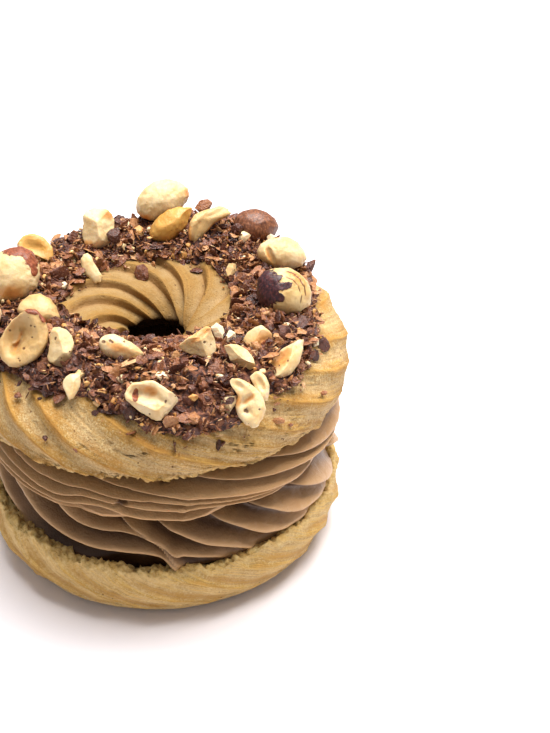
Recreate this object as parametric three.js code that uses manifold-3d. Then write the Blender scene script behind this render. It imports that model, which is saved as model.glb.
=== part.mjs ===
// A paris brest: a ring of choux pastry piped with a star nozzle and cut level, two strands of
// praline cream piped between its halves, and a lid spread with praline crumble and hazelnuts.
// Millimetres, +Z up, the ring's axis on Z, the underside on Z = 0.

import * as THREE from "three";
import { ConvexGeometry } from "three/addons/geometries/ConvexGeometry.js";
import { mergeVertices } from "three/addons/utils/BufferGeometryUtils.js";
import Module from "manifold-3d";

const wasm = await Module();
wasm.setup();

// Piping: a ridge leans round the ring as it climbs round the section.
const RIDGES_ROUND = 18; // ridges met on one turn round the ring
const NOZZLE_TEETH = 8; // ridges met on one turn round the section
const COLUMNS = 72; // steps round the choux, four to a ridge
const CLEARANCE = 0.35; // gap between neighbouring pieces

// Choux ring
const SECTION_RADIUS = 26; // axis to the middle of the section
const SECTION_HALF_WIDTH = 19;
const LID_MIDDLE = 48; // height of the lid's widest line
const LID_RISE = 13.4; // from the widest line to the crown
const LID_DROP = 16.2; // full drop of the curve that the cut edge ends early
const LID_TUCK = 16.875; // degrees below the widest line where the cut edge lies
const LID_CUT = 43.2; // height of the lid's cut face
const LID_SKEW = 2; // how much higher the hole's narrowest line lies
const LID_FLARE = 3; // how far the hole opens out below it
const LID_RIDGE = 1.6; // depth of the lid's ridges
const BASE_RIM = 16; // height of the base's cut edge
const BASE_FLOOR = 12; // height of the crumb that the cream lies on
const BASE_RIDGE = 1.2;
const BASE_REACH = 43.9;
const BASE_FOOT = 36.5; // radius where the underside leaves the table
const BASE_HOLE = 8;
const BASE_LEAN = 5; // degrees that a ridge leans from one row of the wall to the next

// Praline cream
const CREAM_SPLIT = 30.5; // height where the upper strand overhangs the lower one
const UPPER_REACH = 43.3;
const LOWER_REACH = 41.3;
const CREAM_HOLE = 9;
const CREAM_COLUMNS = 60; // steps round the cream, four to a fold of the lower strand
const UPPER_FOLD = 1.6; // depth of the upper strand's nearly level folds
const LOWER_FOLD = 2.6; // depth of the lower strand's slanting folds
const LOWER_FOLDS = 15;
const LOWER_LEAN = 2.6; // degrees round the ring for each millimetre that a fold falls

// Praline crumble
const CRUMBLE_OUTER = 44; // degrees round the section to its outer edge
const CRUMBLE_INNER = 110; // degrees round the section to its inner edge
const CRUMBLE_DEPTH = 2.2;
const CRUMBLE_HILL = 3; // how much deeper it is heaped at the back
const CRUMBLE_COLUMNS = 54;
const CRUMB_COUNT = 60;

// Hazelnuts: name, kind, length, width and thickness, degrees round the axis, distance from it,
// height of the middle, and the way the split side faces: heading, tilt from straight up, spin.
const NUTS = [
  ["nut_whole_back", "whole", 12.6, 10.8, 10.2, 90, 32.6, 70.9, 0, 20, 8],
  ["nut_half_golden", "half", 9.8, 8.6, 4.6, 86, 23.8, 66.4, 180, 100, 10],
  ["nut_crescent_back", "crescent", 11.6, 5.6, 5.4, 65, 27.9, 67.3, 10, 50, 38],
  ["nut_skin_on", "whole", 10.6, 9, 8.8, 50, 35.4, 66.2, 20, 30, -8],
  ["nut_whole_right", "whole", 11.6, 8.6, 8.2, 25, 32.7, 66.8, 10, 40, -14],
  ["nut_whole_dark", "whole", 10.8, 10.2, 9.8, -9, 31.2, 67.2, 0, 45, -20],
  ["nut_whole_patch", "whole", 12.2, 11.4, 11, 176, 32.6, 68, -20, 35, -25],
  ["nut_half_left", "half", 9, 8.2, 5, 151, 34.3, 66.4, -30, 125, 20],
  ["nut_half_hollow", "half", 11.6, 10.6, 5.6, -141.5, 34.8, 65, -14, 58, 62],
  ["nut_chunk_left", "chunk", 9.4, 6, 5.4, -126, 31.4, 65.6, 0, 50, 76],
  ["nut_round_left", "chunk", 9.6, 7, 6, -161, 27.2, 66, 0, 40, -12],
  ["nut_sliver_inner", "sliver", 8.8, 3.8, 3, 144, 20, 64.2, 0, 50, -60],
  ["nut_chunk_back", "chunk", 10, 7.6, 7, 123, 28.2, 67.6, 0, 60, 84],
  ["nut_buried_front", "whole", 8.6, 6.4, 6, -101, 25.6, 65.6, 0, 40, -18],
  ["nut_toasted_chunk", "chunk", 8.6, 6.4, 5.2, -64, 25.4, 65.6, 10, 50, 28],
  ["nut_pale_half", "half", 7.4, 5.8, 3.6, -53.5, 33.2, 65, 0, 120, -24],
  ["nut_buried_right", "chunk", 6.4, 5.6, 5, -36, 30.2, 65, 0, 40, 10],
  ["nut_teardrop", "sliver", 11.4, 4.8, 4.2, -37, 38.6, 62.4, 40, 34, 14],
  ["nut_hollow_slab", "half", 12.6, 8.6, 4.4, -86.4, 39.8, 62, 0, 42, -16],
  ["nut_crescent_front", "crescent", 11.2, 5.8, 4.4, -59, 43, 59.2, 33, 50, -82],
  ["nut_chip_front", "chunk", 6.8, 4.8, 3.8, -51, 40.4, 60.9, 38, 40, -70],
  ["nut_wedge_left", "sliver", 6.8, 4.2, 3.4, -113.5, 37.8, 62, -20, 40, 80],
  ["nut_chunk_side", "chunk", 8.4, 6, 5.4, -165, 38.4, 63.2, -76, 36, 70],
  ["nut_chip_rear", "sliver", 8, 4.6, 2.8, 72, 42.6, 58.1, 162, 45, 20],
  ["nut_sliver_rear", "sliver", 7.4, 4, 2.8, 118, 42.6, 58.1, 208, 45, 60],
];

const TURN = Math.PI * 2;
const radians = THREE.MathUtils.degToRad;

// A repeatable run of numbers from 0 to 1.
function draws(seed) {
  let state = seed;
  return () => {
    state = (state * 1664525 + 1013904223) % 4294967296;
    return state / 4294967296;
  };
}

// 1 on a ridge's sharp crest, 0 in the groove between two crests.
function ridge(phase) {
  const turns = phase / TURN;
  const across = turns - Math.floor(turns);
  return Math.abs(2 * across - 1) ** 1.3;
}

function smooth(from, to, value) {
  return THREE.MathUtils.smoothstep(value, from, to);
}

// Unevenness along a torn edge, from -1 to 1.
function ragged(angle, seed) {
  const fine = Math.sin(31 * angle + seed * 2.1);
  const middle = Math.sin(13 * angle + seed * 4.7);
  return 0.35 * fine + 0.4 * middle + 0.25 * Math.sin(5 * angle + seed);
}

// A point from its angle round the axis, its distance from the axis and its height.
function point(angle, radius, height) {
  return [radius * Math.cos(angle), radius * Math.sin(angle), height];
}

// A closed ring of rows, each one a turn round the axis. place(row, angle) gives a point, and
// the last row meets the first one `slip` columns further on.
function ringGeometry(rows, columns, place, slip = 0) {
  const positions = [];
  const faces = [];
  const at = (row, column) => {
    const past = row === rows ? slip + columns : columns;
    return (row % rows) * columns + ((column + past) % columns);
  };
  for (let row = 0; row < rows; row++) {
    for (let column = 0; column < columns; column++) {
      positions.push(...place(row, (column * TURN) / columns));
      const corner = at(row, column);
      const across = at(row, column + 1);
      const above = at(row + 1, column);
      const opposite = at(row + 1, column + 1);
      faces.push(corner, across, opposite, corner, opposite, above);
    }
  }
  const geometry = new THREE.BufferGeometry();
  geometry.setAttribute("position", new THREE.Float32BufferAttribute(positions, 3));
  geometry.setIndex(faces);
  return geometry;
}

// A closed geometry as a solid that can be joined and cut.
function solidOf(geometry) {
  const bare = geometry.clone();
  bare.deleteAttribute("normal");
  bare.deleteAttribute("uv");
  const merged = mergeVertices(bare, 1e-4);
  const vertProperties = new Float32Array(merged.attributes.position.array);
  const triVerts = new Uint32Array(merged.index.array);
  return new wasm.Manifold(new wasm.Mesh({ numProp: 3, vertProperties, triVerts }));
}

function geometryOf(solid) {
  const mesh = solid.getMesh();
  const geometry = new THREE.BufferGeometry();
  geometry.setAttribute("position", new THREE.BufferAttribute(mesh.vertProperties, 3));
  geometry.setIndex(new THREE.BufferAttribute(mesh.triVerts, 1));
  geometry.computeVertexNormals();
  return geometry;
}

// The largest of the bodies that a cut leaves: loose scraps are dropped.
function largest(solid) {
  const bodies = solid.decompose();
  return bodies.reduce((best, body) => (body.volume() > best.volume() ? body : best));
}

// Height of the lid's cut face: dipped at both sides of the front, torn along its edge.
function lidCut(angle, torn = 1) {
  const dip = 1.1 * Math.cos(2 * (angle + Math.PI / 2));
  return LID_CUT + dip + torn * 0.55 * ragged(angle, 1);
}

// A point of the lid's dome: section is the angle round its section, 0 on the widest line
// outside and 90 degrees on the crown.
function lidSurface(angle, section) {
  const degrees = THREE.MathUtils.radToDeg(section);
  const covered = smooth(40, 55, degrees) - smooth(102, 118, degrees);
  const depth = LID_RIDGE * (0.45 + 0.55 * smooth(-20, 25, degrees)) * (1 - 0.6 * covered);
  const crest = depth * (ridge(NOZZLE_TEETH * section + RIDGES_ROUND * angle) - 0.6);
  const rise = section > 0 && section < Math.PI ? LID_RISE : LID_DROP;
  const middle = LID_MIDDLE + (section > Math.PI / 2 ? LID_SKEW * Math.cos(section) ** 2 : 0);
  const opened = LID_FLARE * smooth(180, 180 + LID_TUCK, degrees);
  const radius = SECTION_RADIUS + (SECTION_HALF_WIDTH + crest) * Math.cos(section) + opened;
  return [radius, middle + (rise + crest) * Math.sin(section)];
}

const LID_STATIONS = [-LID_TUCK, -7, 5, 18, 31, 45, 60, 75, 90, 105, 120, 136, 152, 168, 181];
LID_STATIONS.push(180 + LID_TUCK);

// The lid: columns follow the ridges over the dome, and the cut face closes it below.
function lidGeometry() {
  const rows = LID_STATIONS.length;
  const lean = NOZZLE_TEETH / RIDGES_ROUND;
  const first = LID_STATIONS[0];
  const last = LID_STATIONS[rows - 1];
  const slip = -Math.round(((last - first) * lean * COLUMNS) / 360);
  const place = (row, start) => {
    const station = LID_STATIONS[Math.min(row, rows - 1)];
    const angle = start + radians(first - station) * lean;
    if (row === rows) {
      return point(angle, SECTION_RADIUS, lidCut(angle, 0));
    }
    const [radius, height] = lidSurface(angle, radians(station));
    if (row === 0) {
      return point(angle, radius, lidCut(angle));
    }
    return point(angle, radius, row === rows - 1 ? lidCut(angle, 0.4) : height);
  };
  return ringGeometry(rows + 1, COLUMNS, place, slip);
}

// The base: an underside, a bulging ridged wall, a torn rim and a shallow bed for the cream.
function baseGeometry() {
  const wall = [
    [BASE_FOOT, 0, 0],
    [BASE_FOOT + 3.4, 1.6, 0.6],
    [BASE_REACH - 2, 5.4, 1],
    [BASE_REACH - 0.2, 9.6, 1],
    [BASE_REACH - 0.4, 13.8, 0.5],
  ];
  const bed = [
    [42.6, BASE_RIM - 0.1, 0.8],
    [39.8, BASE_RIM - 0.8, 0.7],
    [38.4, BASE_FLOOR, 0],
    [12.5, BASE_FLOOR, 0],
    [10.6, 14.2, 0.5],
    [BASE_HOLE, 11, 0],
    [BASE_HOLE + 2.2, 0, 0],
  ];
  return ringGeometry(wall.length + bed.length, COLUMNS, (row, start) => {
    if (row < wall.length) {
      const [radius, height, relief] = wall[row];
      const angle = start - radians(row * BASE_LEAN);
      return point(angle, radius + relief * BASE_RIDGE * (ridge(RIDGES_ROUND * start) - 0.5), height);
    }
    const [radius, height, torn] = bed[row - wall.length];
    const angle = start - radians((wall.length - 1) * BASE_LEAN);
    return point(angle, radius + 0.4 * torn * ragged(angle, 5), height + torn * ragged(angle, row));
  });
}

// How far the lower strand reaches: tucked in on the left of the front, bulging on the right.
function lowerReach(angle) {
  return LOWER_REACH - 2.4 * Math.max(0, Math.cos(angle + radians(112))) ** 2 + 0.8 * Math.cos(angle);
}

// How far the upper strand reaches at a height: full down to the lip that overhangs the lower one.
function upperWall(angle, height) {
  const climb = (height - CREAM_SPLIT) / (LID_CUT - CREAM_SPLIT);
  const round = 1 - 0.07 * Math.abs(2 * climb - 0.8) ** 3;
  return UPPER_REACH * round + UPPER_FOLD * (ridge((TURN * height) / 3.3 + 12 * angle) - 0.5);
}

// How far the lower strand reaches at a height, with a fold's crest at 1 and its groove at 0.
function lowerWall(angle, height, crest) {
  const climb = (height - BASE_RIM) / (CREAM_SPLIT - BASE_RIM);
  const round = 1 - 0.06 * (2 * climb - 0.9) ** 2;
  return lowerReach(angle) * round + LOWER_FOLD * (crest - 0.6);
}

const LOWER_HEIGHTS = [BASE_RIM - 0.4, 18, 20.3, 22.6, 24.9, 27.2, 29.4];
const UPPER_HEIGHTS = [30.4, 31.4, 32.5, 33.6, 34.7, 35.8, 36.9, 38, 39.1, 40.2, 41.3];

// The cream: columns follow the slanting folds up the lower strand, then stand upright.
function creamGeometry() {
  const lower = LOWER_HEIGHTS.length;
  const upper = UPPER_HEIGHTS.length;
  const bottom = BASE_FLOOR + CLEARANCE;
  const within = 5;
  const place = (row, start) => {
    const level = Math.min(Math.max(row - 1, 0), lower - 1);
    const angle = start - radians(LOWER_LEAN * (LOWER_HEIGHTS[level] - LOWER_HEIGHTS[0]));
    const top = lidCut(angle, 0) - 1;
    if (row === 0) {
      return point(angle, 37.6, bottom);
    }
    if (row <= lower) {
      const height = LOWER_HEIGHTS[level];
      const reach = lowerWall(angle, height, ridge(LOWER_FOLDS * start));
      return point(angle, row === 1 ? 38 : reach, height);
    }
    if (row <= lower + upper) {
      const height = UPPER_HEIGHTS[row - lower - 1];
      return point(angle, upperWall(angle, height), Math.min(height, top - 0.2));
    }
    const inside = [
      [39.5, top],
      [CREAM_HOLE + 1.5, top],
      [CREAM_HOLE, 37],
      [CREAM_HOLE + 1, 27],
      [CREAM_HOLE + 4.2, bottom],
    ];
    return point(angle, ...inside[row - lower - upper - 1]);
  };
  const turned = LOWER_LEAN * (LOWER_HEIGHTS[lower - 1] - LOWER_HEIGHTS[0]);
  const slip = Math.round((turned * CREAM_COLUMNS) / 360);
  return ringGeometry(1 + lower + upper + within, CREAM_COLUMNS, place, slip);
}

// A hazelnut, slightly pointed at one end.
function wholeNut() {
  const geometry = new THREE.SphereGeometry(0.5, 9, 6).rotateZ(Math.PI / 2);
  return shaped(geometry, (p) => {
    const taper = 1 - 0.5 * Math.max(0, p.x) ** 2;
    p.set(p.x, p.y * taper, p.z * taper);
  });
}

// Half a hazelnut: its split side faces up and holds a shallow hollow.
function halfNut() {
  const profile = [
    [0, -1],
    [0.27, -0.88],
    [0.45, -0.5],
    [0.5, -0.12],
    [0.43, 0],
    [0.24, -0.12],
    [0, -0.26],
  ];
  const geometry = new THREE.LatheGeometry(profile.map(([x, y]) => new THREE.Vector2(x, y)), 9);
  return shaped(geometry.rotateX(Math.PI / 2), () => {});
}

// A split nut that has broken along its length into a curved piece.
function crescentNut() {
  const geometry = new THREE.SphereGeometry(0.5, 8, 7).rotateZ(Math.PI / 2);
  return shaped(geometry, (p) => {
    p.set(p.x, p.y - 1.3 * p.x * p.x, p.z * (p.z > 0 ? 0.6 : 1));
  });
}

// A narrow piece that ends in a point.
function sliverNut() {
  const geometry = new THREE.SphereGeometry(0.5, 7, 6).rotateZ(Math.PI / 2);
  return shaped(geometry, (p) => {
    const taper = 1 - 0.9 * Math.max(0, p.x + 0.1);
    p.set(p.x, p.y * taper, p.z * taper * (p.z > 0 ? 0.7 : 1));
  });
}

// A chopped piece with flat broken faces.
function chunkNut(seed) {
  const draw = draws(seed);
  const corners = [];
  for (let i = 0; i < 15; i++) {
    const across = TURN * (i * 0.618 + 0.06 * draw());
    const up = Math.max(-0.8, Math.min(0.8, (i + 0.5) / 7.5 - 1));
    const reach = 0.5 * (0.86 + 0.14 * draw());
    const level = Math.sqrt(1 - up * up);
    corners.push(new THREE.Vector3(Math.cos(across) * level, Math.sin(across) * level, up));
    corners[i].multiplyScalar(reach);
  }
  return new ConvexGeometry(corners);
}

// A geometry with its vertices joined and each one moved.
function shaped(geometry, move) {
  geometry.deleteAttribute("normal");
  geometry.deleteAttribute("uv");
  const merged = mergeVertices(geometry, 1e-4);
  const positions = merged.attributes.position;
  const p = new THREE.Vector3();
  for (let i = 0; i < positions.count; i++) {
    p.fromBufferAttribute(positions, i);
    move(p);
    positions.setXYZ(i, p.x, p.y, p.z);
  }
  return merged;
}

const NUT_KINDS = {
  whole: wholeNut,
  half: halfNut,
  crescent: crescentNut,
  sliver: sliverNut,
  chunk: chunkNut,
};

// A nut at its size, its middle on the origin; grow makes it larger on every side.
function nutGeometry(kind, size, seed, grow = 0) {
  const geometry = NUT_KINDS[kind](seed);
  geometry.computeBoundingBox();
  const middle = geometry.boundingBox.getCenter(new THREE.Vector3());
  const extent = geometry.boundingBox.getSize(new THREE.Vector3());
  geometry.translate(-middle.x, -middle.y, -middle.z);
  const [length, width, thickness] = size.map((side) => side + 2 * grow);
  geometry.scale(length / extent.x, width / extent.y, thickness / extent.z);
  return geometry;
}

// The turn that points a nut's split side along a heading, tilted from straight up.
function nutTurn(heading, tilt, spin) {
  const up = new THREE.Vector3(0, 0, 1);
  const turn = new THREE.Quaternion().setFromAxisAngle(up, radians(heading));
  turn.multiply(new THREE.Quaternion().setFromAxisAngle(new THREE.Vector3(1, 0, 0), radians(tilt)));
  return turn.multiply(new THREE.Quaternion().setFromAxisAngle(up, radians(spin)));
}

// A point above the lid's ridges: grow is measured from their crests.
function overCrests(angle, section, grow) {
  const reach = LID_RIDGE * 0.4 + grow;
  const radius = SECTION_RADIUS + (SECTION_HALF_WIDTH + reach) * Math.cos(section);
  return point(angle, radius, LID_MIDDLE + (LID_RISE + reach) * Math.sin(section));
}

// A ring over the crests between two angles of the section, closed below at a depth.
function crestRing(spans, from, to, lift, depth) {
  const above = spans.length;
  const below = 5;
  return ringGeometry(above + below, CRUMBLE_COLUMNS, (row, angle) => {
    const span = row < above ? spans[row] : 1 - (row - above) / (below - 1);
    const section = radians(from(angle) + (to(angle) - from(angle)) * span);
    return overCrests(angle, section, row < above ? lift(angle, span) : depth);
  });
}

// The crumble: a thin uneven ring that follows the crown, with crumbs fused into its top, and
// hollows where the nuts lie.
function crumbleSolid(nutSpaces) {
  const spill = (angle) => 8 * Math.max(0, Math.cos(angle + radians(80))) ** 12;
  const outer = (angle) => CRUMBLE_OUTER - spill(angle) + 3 * ragged(angle, 7);
  const inner = (angle) => CRUMBLE_INNER + 3 * Math.cos(angle) + 3 * ragged(angle, 8);
  const heap = (angle, span) => {
    const swell = Math.sin(Math.PI * Math.min(1, Math.max(0, span))) ** 0.5;
    const bumps = Math.sin(61 * angle + 40 * span) + Math.sin(37 * angle - 70 * span);
    const hill = CRUMBLE_HILL * Math.max(0, Math.cos(angle - radians(72))) ** 6;
    return 0.5 + (CRUMBLE_DEPTH + hill * swell ** 2 + 0.45 * bumps) * swell;
  };
  const core = crestRing([0, 0.13, 0.3, 0.47, 0.64, 0.82, 1], outer, inner, heap, CLEARANCE);
  const under = crestRing([0, 0.25, 0.5, 0.75, 1], () => 36, () => 121, () => CLEARANCE, -4);
  const draw = draws(41);
  const crumbs = [];
  for (let i = 0; i < CRUMB_COUNT; i++) {
    const angle = (TURN * (i + 0.8 * draw())) / CRUMB_COUNT;
    const span = 0.03 + 0.94 * draw();
    const section = radians(outer(angle) + (inner(angle) - outer(angle)) * span);
    crumbs.push(crumbSolid(draw, overCrests(angle, section, heap(angle, span) + 0.2)));
  }
  const trimmed = wasm.Manifold.union(crumbs).subtract(solidOf(under));
  const solid = solidOf(core).add(trimmed);
  return largest(solid.subtract(wasm.Manifold.union(nutSpaces)));
}

// One crumb: a small broken block with its middle at a place.
function crumbSolid(draw, place) {
  const size = 1.4 + 1.1 * draw();
  const corners = [];
  for (let i = 0; i < 6; i++) {
    const axis = new THREE.Vector3().setComponent(i % 3, i < 3 ? 1 : -1);
    axis.add(new THREE.Vector3(draw() - 0.5, draw() - 0.5, draw() - 0.5));
    corners.push(axis.normalize().multiplyScalar(size));
  }
  const geometry = new ConvexGeometry(corners);
  geometry.translate(...place);
  return solidOf(geometry);
}

function mesh(name, geometry, colour, roughness) {
  const material = new THREE.MeshStandardMaterial({ color: colour, roughness, metalness: 0 });
  const made = new THREE.Mesh(geometry, material);
  made.name = name;
  return made;
}

const pastry = new THREE.Group();
pastry.add(mesh("base_choux", baseGeometry(), 0xc79a52, 0.75));
pastry.add(mesh("praline_cream", creamGeometry(), 0x8f6a4e, 0.5));
pastry.add(mesh("lid_choux", lidGeometry(), 0xcfa05a, 0.75));

const nutSpaces = [];
NUTS.forEach(([name, kind, length, width, thickness, place, radius, height, ...turn], index) => {
  const size = [length, width, thickness];
  const nut = mesh(name, nutGeometry(kind, size, index + 1), 0xe8cf9c, 0.5);
  nut.position.set(...point(radians(place), radius, height));
  nut.quaternion.copy(nutTurn(...turn));
  nut.updateMatrix();
  pastry.add(nut);
  const space = nutGeometry(kind, size, index + 1, CLEARANCE);
  space.applyMatrix4(nut.matrix);
  nutSpaces.push(solidOf(space));
});

pastry.add(mesh("praline_crumble", geometryOf(crumbleSolid(nutSpaces)), 0x5a3026, 0.6));

export default pastry;
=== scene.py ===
import random
from math import cos, pi, radians, sin

import bpy
import numpy as np
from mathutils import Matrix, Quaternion, Vector, noise
from mathutils.bvhtree import BVHTree


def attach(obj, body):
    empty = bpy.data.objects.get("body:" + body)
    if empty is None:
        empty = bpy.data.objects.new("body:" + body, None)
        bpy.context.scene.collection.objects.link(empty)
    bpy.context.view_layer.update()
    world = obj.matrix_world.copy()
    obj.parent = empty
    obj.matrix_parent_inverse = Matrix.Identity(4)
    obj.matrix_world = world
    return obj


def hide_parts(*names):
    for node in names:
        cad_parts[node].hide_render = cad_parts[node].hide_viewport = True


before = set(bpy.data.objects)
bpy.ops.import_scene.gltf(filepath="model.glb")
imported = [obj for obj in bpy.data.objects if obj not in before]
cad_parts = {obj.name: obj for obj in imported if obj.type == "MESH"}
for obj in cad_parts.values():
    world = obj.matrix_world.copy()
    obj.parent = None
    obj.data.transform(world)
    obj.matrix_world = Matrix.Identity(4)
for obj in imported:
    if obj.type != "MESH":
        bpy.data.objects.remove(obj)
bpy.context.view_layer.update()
mm = 0.001  # lengths below are in millimetres, angles in degrees

# the camera, needed early because the nuts are shaped as they look from it
view = {
    "at": (27.8, -266, 226.75),
    "tilt": 34.63,
    "focal": 1350,  # in the same unit as the frame's longer side
    "frame": 733,
}
threadRadius = 45  # the crust's stretch lines run round the ring as if all lay at this radius
print("frame loaded,", len(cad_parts), "nodes")


def selectOnly(piece):
    # the loading leaves every node selected
    bpy.ops.object.select_all(action="DESELECT")
    piece.select_set(True)
    bpy.context.view_layer.objects.active = piece


def applyModifiers(piece):
    selectOnly(piece)
    for modifier in list(piece.modifiers):
        bpy.ops.object.modifier_apply(modifier=modifier.name)


def pointsOf(piece):
    flat = np.empty(len(piece.data.vertices) * 3, np.float32)
    piece.data.vertices.foreach_get("co", flat)
    return flat.reshape(-1, 3).astype(float) / mm


def movePoints(piece, points):
    piece.data.vertices.foreach_set("co", (points * mm).astype(np.float32).ravel())
    piece.data.update()


def normalsOf(piece):
    flat = np.empty(len(piece.data.vertices) * 3, np.float32)
    piece.data.vertices.foreach_get("normal", flat)
    return flat.reshape(-1, 3).astype(float)


def layerOf(piece, name):
    values = np.empty(len(piece.data.vertices), np.float32)
    piece.data.attributes[name].data.foreach_get("value", values)
    return values.astype(float)


def setLayer(piece, name, values):
    layer = piece.data.attributes.get(name) or piece.data.attributes.new(name, "FLOAT", "POINT")
    layer.data.foreach_set("value", np.asarray(values, np.float32))


def setThreads(piece, threads):
    layer = piece.data.attributes.new("thread", "FLOAT_VECTOR", "POINT")
    layer.data.foreach_set("vector", np.asarray(threads * mm, np.float32).ravel())


def rowsOf(ring):
    # each point's place on the outline that the ring was turned from
    return np.round(layerOf(ring, "row")).astype(int)


def smooth(low, high, value):
    share = np.clip((value - low) / (high - low), 0, 1)
    return share * share * (3 - 2 * share)


def hump(value, middle, width, power=2):
    # 1 at the middle, falling off to both sides
    return np.exp(-(((value - middle) / width) ** power))


def sideOf(angle, degrees, power=2):
    # 1 on that side of the ring, 0 from a quarter turn away on
    return np.maximum(0, np.cos(angle - radians(degrees))) ** power


def bumps(points, size, octaves, seed):
    # fractal noise from about -1 to 1, with lumps of that size
    shifted = points / size + 13.7 * seed
    return np.array([noise.fractal(Vector(p), 1, 2, octaves) for p in shifted])


def drift(points, size, seed):
    # the same kind of noise as a small move in every direction
    return np.stack([bumps(points, size, 2, seed + axis) for axis in range(3)], 1)


def pits(points, size, seed):
    # distance to the nearest of the scattered cell middles, and a value from 0 to 1 for that cell
    shifted = points / size + 9.1 * seed
    distance = np.empty(len(points))
    pick = np.empty(len(points))
    for index, point in enumerate(shifted):
        found, middles = noise.voronoi(Vector(point))
        distance[index] = found[0]
        pick[index] = noise.cell(middles[0] * 3.1 + Vector((5.5, 5.5, 5.5)))
    return distance, 0.5 + 0.5 * pick


def ragged(angle, seed):
    # unevenness along a torn edge, from -1 to 1, the angle in radians
    fine = np.sin(31 * angle + seed * 2.1)
    return 0.35 * fine + 0.4 * np.sin(13 * angle + seed * 4.7) + 0.25 * np.sin(5 * angle + seed)


def around(angle, radius, height):
    return np.stack([radius * np.cos(angle), radius * np.sin(angle), height], 1)


def onWheel(degrees, lap):
    # an angle moved by whole turns to lie nearest to the lap's middle
    return degrees + 360 * np.round((lap - degrees) / 360)


def turnedRing(name, outline, columns, closed=True):
    # an outline of (radius, height) turned round the axis; "row" keeps each point's place on it
    bpy.ops.object.select_all(action="DESELECT")
    bpy.ops.mesh.primitive_circle_add(vertices=len(outline), radius=0.02)
    ring = bpy.context.object
    ring.name = name
    for vertex, (radius, height) in zip(ring.data.vertices, outline):
        vertex.co = (radius * mm, 0, height * mm)
    setLayer(ring, "row", np.arange(len(outline)))
    if not closed:
        bpy.ops.object.mode_set(mode="EDIT")
        bpy.ops.mesh.select_all(action="DESELECT")
        bpy.ops.object.mode_set(mode="OBJECT")
        for edge in ring.data.edges:
            edge.select = set(edge.vertices) == {0, len(outline) - 1}
        bpy.ops.object.mode_set(mode="EDIT")
        bpy.ops.mesh.select_mode(type="EDGE")
        bpy.ops.mesh.delete(type="EDGE")
        bpy.ops.mesh.select_mode(type="VERT")
        bpy.ops.object.mode_set(mode="OBJECT")
    lathe = ring.modifiers.new("lathe", "SCREW")
    lathe.angle = 2 * pi
    lathe.steps = columns
    lathe.render_steps = columns
    lathe.use_merge_vertices = True
    lathe.merge_threshold = 1e-6
    applyModifiers(ring)
    return ring


def plainOval(count, radius, height, wide, tall):
    # an outline to begin with, for a ring whose rows are all placed anew
    turns = [2 * pi * i / count for i in range(count)]
    return [(radius + wide * cos(turn), height + tall * sin(turn)) for turn in turns]


def facesOut(piece):
    selectOnly(piece)
    bpy.ops.object.mode_set(mode="EDIT")
    bpy.ops.mesh.select_all(action="SELECT")
    bpy.ops.mesh.normals_make_consistent(inside=False)
    bpy.ops.object.mode_set(mode="OBJECT")
    bpy.ops.object.shade_smooth()


def walked(points, count, weightOf):
    # points spread along a line, closer together where weightOf says more
    points = np.array(points, float)
    steps = np.hypot(*np.diff(points, axis=0).T)
    steps *= weightOf((points[1:] + points[:-1]) / 2)
    length = np.concatenate([[0], np.cumsum(steps)])
    spread = np.linspace(0, length[-1], count)
    return np.stack([np.interp(spread, length, column) for column in points.T], 1)


def rounded(points, passes):
    # corner cutting on an open line that keeps its ends
    points = np.array(points, float)
    for _ in range(passes):
        near = 0.75 * points[:-1] + 0.25 * points[1:]
        far = 0.25 * points[:-1] + 0.75 * points[1:]
        cut = np.stack([near, far], 1).reshape(-1, 2)
        points = np.concatenate([points[:1], cut[1:-1], points[-1:]])
    return points


def finished(piece, material, slot, *nodes):
    piece.data.materials.clear()
    piece.data.materials.append(material)
    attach(piece, "root")
    if nodes:
        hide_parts(*nodes)
    piece.data.calc_loop_triangles()
    print(piece.name, "done,", len(piece.data.loop_triangles), "triangles")


def paint(red, green, blue):
    # a colour given as on a screen, 0 to 255
    shares = (red / 255, green / 255, blue / 255)
    linear = [c / 12.92 if c <= 0.04045 else ((c + 0.055) / 1.055) ** 2.4 for c in shares]
    return (*linear, 1)


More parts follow.
